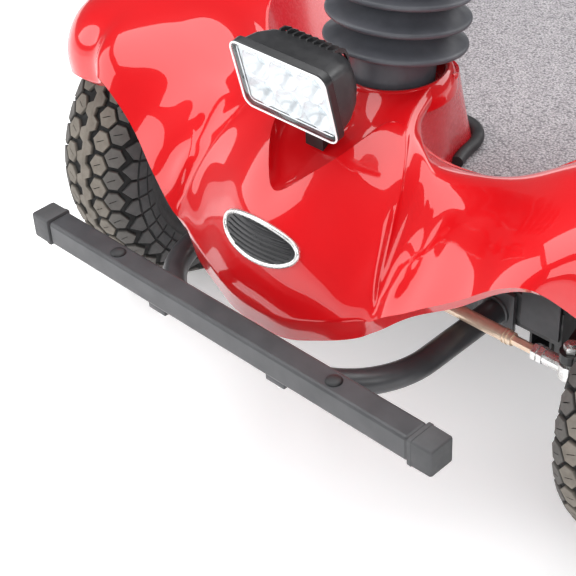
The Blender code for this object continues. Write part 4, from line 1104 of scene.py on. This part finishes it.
def lamp_cover():
    """Clear cover with its bright rims."""
    wide, high = LAMP_HALF_X, LAMP_HALF_Z
    lens = capped(lamp_loft([(1.9, wide - 2.0, high - 2.0, 8), (1.2, wide - 1.2, high - 1.2, 9),
                             (-0.2, wide - 2.2, high - 2.2, 8), (-2.6, wide - 8.0, high - 7.0, 5),
                             (-2.9, wide - 9.0, high - 8.0, 4)]))
    piece("lamp_cover", lens, "lens_clear", "lamp", ["lamp_lens"])
    edge = [lamp_place(x, 0.9, z) for x, z in rounded_rectangle(wide - 0.9, high - 0.9, 9, 8)]
    inner = [lamp_place(x, 3.9, z) for x, z in rounded_rectangle(wide - 5.2, high - 5.2, 5, 8)]
    frames = joined([tube(edge, 0.9, 10, closed=True), tube(inner, 0.6, 8, closed=True)])
    piece("lamp_cover_rim", frames, "reflector", "lamp")


def lamp_lug():
    """Lug under the lamp, and the bolt it turns on."""
    spot = here(LAMP_PIVOT)
    turn = along_x(LAMP_PIVOT)
    eye = turned([(4.0, -6.0), (7.4, -6.0), (8.0, -5.4), (8.0, 5.4), (7.4, 6.0), (4.0, 6.0)], turn, 40)
    stem = box((-6, spot.y - 8, spot.z + 2), (6, spot.y + 8, spot.z + 18), 1.0)
    piece("lamp_lug", joined([eye, stem]), "plastic_black", "lamp")
    half_bolt = [(0.0, 14.0), (5.4, 14.0), (6.4, 13.2), (6.4, 10.9), (4.0, 10.9), (4.0, 0.0), (0.0, 0.0)]
    bolt = [turned(half_bolt, along_x(LAMP_PIVOT, side), 6, closed=False) for side in (1.0, -1.0)]
    piece("lamp_bolt", joined(bolt), "bright_steel", "lamp")


# ---------------------------------------------------------------- boot

TILT = joint_place("tiller_tilt")
LEAN = math.radians(9.0)
BOOT_PITCH = 24.0
BOOT_RINGS = 5
BOOT_FIRST = 50.0
BOOT_BORE = 16.4


def boot_profile():
    """Bellows section, bottom to top, as (radius, height above the tilt pivot) in millimetres."""
    points = [(37.4, 7.0), (38.2, 7.4), (38.6, 9.0), (38.6, 24.0), (39.4, 38.0)]
    for ring in range(BOOT_RINGS):
        crest = BOOT_FIRST + ring * BOOT_PITCH
        outer = 64.5 - 1.4 * max(0, ring - 2)
        waist = (43.0 if ring == 0 else 45.0) - 1.6 * ring
        points += [(waist + 0.6, crest - 4.6), (waist + 6.0, crest - 3.4), (outer - 6.0, crest - 2.6),
                   (outer - 1.4, crest - 1.9), (outer, crest + 0.2), (outer - 0.5, crest + 2.1),
                   (outer - 3.0, crest + 3.6), (outer - 9.0, crest + 6.8),
                   (waist + 4.4, crest + 12.6), (waist + 0.4, crest + 16.4), (waist - 1.4, crest + 18.2)]
    top = BOOT_FIRST + BOOT_RINGS * BOOT_PITCH
    points += [(33.0, top - 4.0), (27.0, top + 1.0), (21.5, top + 6.0), (20.0, top + 18.0),
               (17.0, top + 19.5), (BOOT_BORE, top + 18.0)]
    return points


def boot():
    fine = [tuple(point) for point in smooth_line(boot_profile(), 260)]
    inside = [(max(BOOT_BORE, r - 2.4), h + 0.4) for r, h in fine[::-4]]
    turn = Matrix.Translation(TILT) @ Matrix.Rotation(-LEAN, 4, "X")
    bellows = turned(fine + inside, turn, 96)
    obj = piece("boot_bellows", bellows, "boot_rubber", None, ["steering_boot"])
    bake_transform(obj)


# ---------------------------------------------------------------- bumper and links

def bumper_caps():
    """Slip-on end caps with nested square steps on the end and a lip at the mouth."""
    for tag, side in SIDES:
        low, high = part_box("bumper_cap_" + tag)
        centre = here((low + high) / 2)
        half = (high.z - low.z) / 2 / MM
        length = (high.x - low.x) / MM
        end = centre.x + side * length / 2

        def frame_row(x, reach, radius):
            return [at((x, centre.y + y, centre.z + z))
                    for y, z in rounded_rectangle(reach, reach, radius, 4)]

        rows = [frame_row(end - side * length, half - 1.2, 2.0),
                frame_row(end - side * (length - 0.3), half - 0.2, 2.2),
                frame_row(end - side * (length - 2.0), half, 2.4),
                frame_row(end - side * (length - 4.0), half, 2.4),
                frame_row(end - side * (length - 4.6), half - 0.5, 2.4),
                frame_row(end - side * (length - 5.2), half - 0.5, 2.4),
                frame_row(end - side * 2.2, half - 0.7, 2.4), frame_row(end - side * 0.8, half - 1.4, 2.2)]
        level = 0.4
        for reach in (half - 3.0, half - 5.2, half - 7.4, half - 9.6):
            rows += [frame_row(end - side * level, reach + 1.0, 1.4),
                     frame_row(end - side * (0.8 - level), reach, 1.2)]
            level = 0.8 - level
        body = capped(skin(rows, loop_points=True))
        piece("bumper_end_" + tag, body, "cap_plastic", "chassis", ["bumper_cap_" + tag])


def bumper_tube():
    """Bent tube behind the beam with its flanges, and the tabs under the beam."""
    corner = here(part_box("bumper_hoop")[1])
    radius = 12.0
    bend = 90.0
    leg = corner.x - 20.0
    front = -238.0
    back = -56.0
    level = 180.0
    points = [(-leg, back, level), (-leg, front + bend, level)]
    points += [(-(leg - bend) + bend * math.cos(t), front + bend + bend * math.sin(t), level)
               for t in np.radians(np.linspace(180, 270, 19))[1:]]
    points += [((leg - bend) + bend * math.cos(t), front + bend + bend * math.sin(t), level)
               for t in np.radians(np.linspace(270, 360, 19))]
    points += [(leg, back, level)]
    bar = tube([at(p) for p in points], radius, 32)
    plates = [box((side * leg - 20, corner.y - 5, 163), (side * leg + 20, corner.y, 204), 1.0)
              for side in (1, -1)]
    for tag, _ in SIDES:
        bolt = here(middle("beam_bolt_" + tag))
        foot = here(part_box("bumper_beam")[0]).z - 0.3
        plates.append(box((bolt.x - 11, bolt.y - 10, 190.5), (bolt.x + 11, front + 4, foot), 0.8))
    beads = []
    weld = radius + 1.2
    for side in (1, -1):
        ring = [at((side * leg + weld * math.cos(t), corner.y - 5.4, level + weld * math.sin(t)))
                for t in np.radians(np.arange(0, 360, 15))]
        beads.append(tube(ring, 2.2, 8, closed=True))
    piece("bumper_bar", joined([bar] + plates + beads), "bumper_black", "chassis",
          ["bumper_hoop"])


def tie_rod_details():
    """Two raised rings on each gold bar, near its outer end."""
    for tag, side in SIDES:
        low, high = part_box("tie_rod_" + tag)
        line_y = middle("tie_rod_" + tag).y
        z = 202.0 * MM
        outer_x = (high.x if side > 0 else low.x)
        collars = []
        for back in (27.0, 30.5):
            place = Vector((outer_x - side * back * MM, line_y, z))
            turn = Matrix.Translation(place) @ Matrix.Rotation(math.radians(90), 4, "Y")
            collars.append(turned([(6.0, -0.9), (6.9, -0.6), (7.0, 0.0), (6.9, 0.6), (6.0, 0.9)], turn, 32))
        piece("tie_rod_rings_" + tag, joined(collars), "zinc_gold", "tie_link_" + tag)


def plug_domes():
    """Domed rubber plugs in the top of the beam."""
    for tag, _ in SIDES:
        low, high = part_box("beam_plug_" + tag)
        centre = middle("beam_plug_" + tag)
        turn = Matrix.Translation((centre.x, centre.y, low.z))
        radius = (high.x - low.x) / 2 / MM
        tall = (high.z - low.z) / MM
        dome = [(0.0, 0.0), (5.0, 0.0), (5.2, tall - 3.4), (radius, tall - 3.3)]
        dome += [(radius * math.cos(t), tall - 2.9 + 2.9 * math.sin(t))
                 for t in np.radians([5, 25, 45, 65, 80])]
        dome += [(0.0, tall)]
        piece("plug_dome_" + tag, turned(dome, turn, 40, closed=False), "rubber_black",
              "chassis", ["beam_plug_" + tag])


# ---------------------------------------------------------------- floor

def carpet():
    """Loop-pile carpet with rolled edges and a tufted top."""
    low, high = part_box("floor_mat")
    bm = bmesh.new()
    slab = bmesh.new()
    slab.from_mesh(NODES["floor_mat"].data)
    bmesh.ops.remove_doubles(slab, verts=slab.verts, dist=1e-5)
    tree = BVHTree.FromBMesh(slab)
    slab.free()
    step = 1.9 * MM
    count_x = int((high.x - low.x) / step)
    count_y = int((high.y - low.y) / step)
    verts = {}

    def inside(x, y):
        hit = tree.ray_cast(Vector((x, y, high.z + 0.05)), Vector((0, 0, -1)))[0]
        return hit is not None and hit.z > high.z - 0.001

    solid_cell = {}
    for i in range(count_x + 1):
        for j in range(count_y + 1):
            solid_cell[i, j] = inside(low.x + (i + 0.5) * step, low.y + (j + 0.5) * step)

    def vert(i, j):
        if (i, j) not in verts:
            x, y = low.x + i * step, low.y + j * step
            tufts = noise.noise(Vector((x, y, 0.0)) * 330.0) * 0.55
            pile = tufts + noise.noise(Vector((x, y, 3.0)) * 900.0) * 0.5
            at_edge = not all(solid_cell.get((i + a, j + b), False) for a in (-1, 0) for b in (-1, 0))
            z = high.z + (pile - 0.9) * MM - (1.6 * MM if at_edge else 0.0)
            verts[i, j] = bm.verts.new((x, y, z))
        return verts[i, j]

    for (i, j), filled in solid_cell.items():
        if filled:
            bm.faces.new((vert(i, j), vert(i + 1, j), vert(i + 1, j + 1), vert(i, j + 1)))
    rim = [edge for edge in bm.edges if edge.is_boundary]
    grown = bmesh.ops.extrude_edge_only(bm, edges=rim)
    for item in grown["geom"]:
        if isinstance(item, bmesh.types.BMVert):
            item.co.z = low.z + 0.4 * MM
    capped(bm)
    piece("carpet_pile", bm, "carpet", "chassis", ["floor_mat"], smooth=False)


def grommet():
    """Round rubber bead on the carpet where the column housing stands."""
    low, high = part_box("column_grommet")
    lift = (high.z - low.z) / 2 / MM
    feet = [Vector(foot) for _, foot in WALL_LINES[:5]]
    grow = lift + 1.5
    path = []
    for before, spot, after in zip([feet[0]] + feet, feet, feet[1:]):
        run = (after - before).normalized()
        out = Vector((-run.y, run.x)) if spot.x > 0 else Vector((0, 1))
        path.append(spot + out * grow)
    half = [(p.x, p.y, here(low).z + lift) for p in path]
    loop = [(-x, y, z) for x, y, z in half[:0:-1]] + half
    bead = tube(smooth_path(loop, 80), lift + 0.2, 20)
    piece("grommet_bead", bead, "rubber_black", "chassis", ["column_grommet"])


# ---------------------------------------------------------------- rear parts

def battery_tops():
    """Lid, terminal covers and carry handle on each battery."""
    for tag, _ in SIDES:
        low, high = (here(p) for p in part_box("battery_" + tag))
        mid_x = (low.x + high.x) / 2
        lid = box((low.x + 8, low.y + 8, high.z - 0.5), (high.x - 8, high.y - 8, high.z + 1.6), 0.7)
        piece("battery_lid_" + tag, lid, "battery_grey", "chassis")
        covers = []
        for x in (mid_x - 62, mid_x + 62):
            covers.append(box((x - 11, low.y + 14, high.z + 1), (x + 11, low.y + 34, high.z + 8), 2.0))
        piece("battery_terminals_" + tag, joined(covers), "rubber_black", "chassis")
        arc = [at((mid_x + 58 * math.cos(t), (low.y + high.y) / 2 + 8, high.z + 1.0 + 15 * math.sin(t)))
               for t in np.radians(np.linspace(0, 180, 21))]
        piece("battery_handle_" + tag, tube(arc, 3.2, 12), "rubber_black", "chassis")


def motor_details():
    """Cooling ribs on the motor body and three leads from it to the controller."""
    low, high = (here(p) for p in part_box("drive_motor"))
    centre = Vector(((low.x + high.x) / 2, 0, (low.z + high.z) / 2))
    radius = (high.x - low.x) / 2
    ribs = []
    for number in range(24):
        angle = math.tau * number / 24
        turn = Matrix.Rotation(-angle, 3, "Y")
        rows = []
        for y in (low.y + 30, low.y + 106):
            rows.append([at(Vector((centre.x, y, centre.z)) + turn @ Vector((dx, 0, dz)))
                         for dx, dz in ((-1.2, radius - 3.5), (-0.8, radius - 0.2), (0.8, radius - 0.2),
                                        (1.2, radius - 3.5))])
        ribs.append(capped(skin(rows, loop_points=True)))
    piece("motor_ribs", joined(ribs), "plastic_black", "chassis")
    socket = here(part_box("controller_box")[0])
    leads = []
    for x in (-10, 0, 10):
        path = smooth_path([(x, low.y + 40, high.z - 2), (x - 8, low.y + 20, high.z + 26),
                            (x - 18, socket.y - 22, socket.z - 2),
                            (x - 18, socket.y + 1, socket.z + 14)], 40)
        leads.append(tube(path, 2.6, 12))
    piece("motor_leads", joined(leads), "rubber_black", "chassis")


def beam_washers():
    """Washers under the beam bolts."""
    washers = []
    for tag, _ in SIDES:
        centre = middle("beam_bolt_" + tag)
        turn = Matrix.Translation((centre.x, centre.y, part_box("beam_bolt_" + tag)[0].z))
        washers.append(turned([(4.4, 6.0), (8.0, 6.0), (8.3, 5.6), (8.0, 5.2), (4.4, 5.2)], turn, 36))
    piece("beam_washers", joined(washers), "frame_black", "chassis")


# ---------------------------------------------------------------- studio

def studio_world():
    """White to the camera, soft grey-blue to everything else and darker in reflections."""
    scene = bpy.context.scene
    scene.view_settings.view_transform = "Standard"
    scene.view_settings.look = "None"
    world = bpy.data.worlds.new("studio")
    scene.world = world
    world.use_nodes = True
    tree = world.node_tree
    tree.nodes.clear()
    out = tree.nodes.new("ShaderNodeOutputWorld")
    mix = tree.nodes.new("ShaderNodeMixShader")
    ray = tree.nodes.new("ShaderNodeLightPath")
    seen = tree.nodes.new("ShaderNodeBackground")
    seen.inputs["Color"].default_value = (1.0, 1.0, 1.0, 1.0)
    lit = tree.nodes.new("ShaderNodeBackground")
    lit.inputs["Color"].default_value = (0.92, 0.95, 1.0, 1.0)
    glossy = tree.nodes.new("ShaderNodeMath")
    glossy.operation = "MULTIPLY_ADD"
    tree.links.new(ray.outputs["Is Glossy Ray"], glossy.inputs[0])
    glossy.inputs[1].default_value = -0.30
    glossy.inputs[2].default_value = 0.42
    tree.links.new(glossy.outputs[0], lit.inputs["Strength"])
    tree.links.new(ray.outputs["Is Camera Ray"], mix.inputs[0])
    tree.links.new(lit.outputs[0], mix.inputs[1])
    tree.links.new(seen.outputs[0], mix.inputs[2])
    tree.links.new(mix.outputs[0], out.inputs["Surface"])


def studio_floor():
    """Pale floor that fades to white with distance."""
    floor = Shader("studio_floor")
    tone = floor.drift((0.93, 0.93, 0.93), (0.95, 0.95, 0.95), 1.5, 2.0)
    reach = floor.node("ShaderNodeVectorMath", operation="LENGTH")
    floor.set(reach.inputs[0], floor.where)
    glow = floor.ramp(floor.math("MULTIPLY", reach.outputs["Value"], 0.2), [(0.2, 0.30), (0.8, 1.0)])
    floor.principled(Base_Color=tone, Roughness=0.55, Specular_IOR_Level=0.25,
                     Emission_Color=(1.0, 1.0, 1.0), Emission_Strength=glow,
                     Normal=floor.bump(floor.noise(40.0, 4.0), 0.2, 0.1))
    bm = bmesh.new()
    bmesh.ops.create_grid(bm, x_segments=1, y_segments=1, size=12.0)
    mesh = bpy.data.meshes.new("studio_floor")
    bm.to_mesh(mesh)
    bm.free()
    mesh.materials.append(floor.material)
    ground = bpy.data.objects.new("studio_floor", mesh)
    bpy.context.scene.collection.objects.link(ground)


# Name, place in millimetres, width and height in metres, power in watts
SOFTBOXES = (("key", (1500, -1500, 1500), 2.0, 1.5, 28), ("side", (-1500, -1300, 1300), 1.7, 1.7, 26),
             ("top", (-200, 200, 2400), 2.8, 2.2, 62), ("rear", (900, 2300, 1500), 2.0, 1.4, 30))
LIGHT_FOCUS = (60, -150, 280)


def softboxes():
    for name, place, width, height, power in SOFTBOXES:
        light = bpy.data.lights.new(name, "AREA")
        light.shape = "RECTANGLE"
        light.size = width
        light.size_y = height
        light.energy = power
        holder = bpy.data.objects.new(name, light)
        bpy.context.scene.collection.objects.link(holder)
        holder.location = at(place)
        run = at(LIGHT_FOCUS) - at(place)
        holder.rotation_euler = run.to_track_quat("-Z", "Y").to_euler()


def camera():
    """Camera at the reference view, given in the axle frame."""
    lens = bpy.data.cameras.new("view")
    lens.lens = 91.185
    lens.sensor_width = 36.0
    lens.clip_end = 30.0
    holder = bpy.data.objects.new("view", lens)
    bpy.context.scene.collection.objects.link(holder)
    azimuth, elevation, roll = math.radians(46.803), math.radians(37.051), -0.061
    back = Vector((math.sin(azimuth) * math.cos(elevation), -math.cos(azimuth) * math.cos(elevation),
                   math.sin(elevation)))
    right = Vector((math.cos(azimuth), math.sin(azimuth), 0))
    up = back.cross(right)
    turned_right = right * math.cos(roll) + up * math.sin(roll)
    turned_up = up * math.cos(roll) - right * math.sin(roll)
    spot = at((761.9, -890.5, 990.7))
    holder.matrix_world = Matrix(((turned_right.x, turned_up.x, back.x, spot.x),
                                  (turned_right.y, turned_up.y, back.y, spot.y),
                                  (turned_right.z, turned_up.z, back.z, spot.z),
                                  (0, 0, 0, 1)))
    bpy.context.scene.camera = holder


dress_nodes()
body_shell()
badge()
tyres()
rims()
lamp_shell()
lamp_reflector()
lamp_leds()
lamp_cover()
lamp_lug()
boot()
bumper_caps()
bumper_tube()
tie_rod_details()
plug_domes()
carpet()
grommet()
battery_tops()
motor_details()
beam_washers()
studio_world()
studio_floor()
softboxes()
camera()
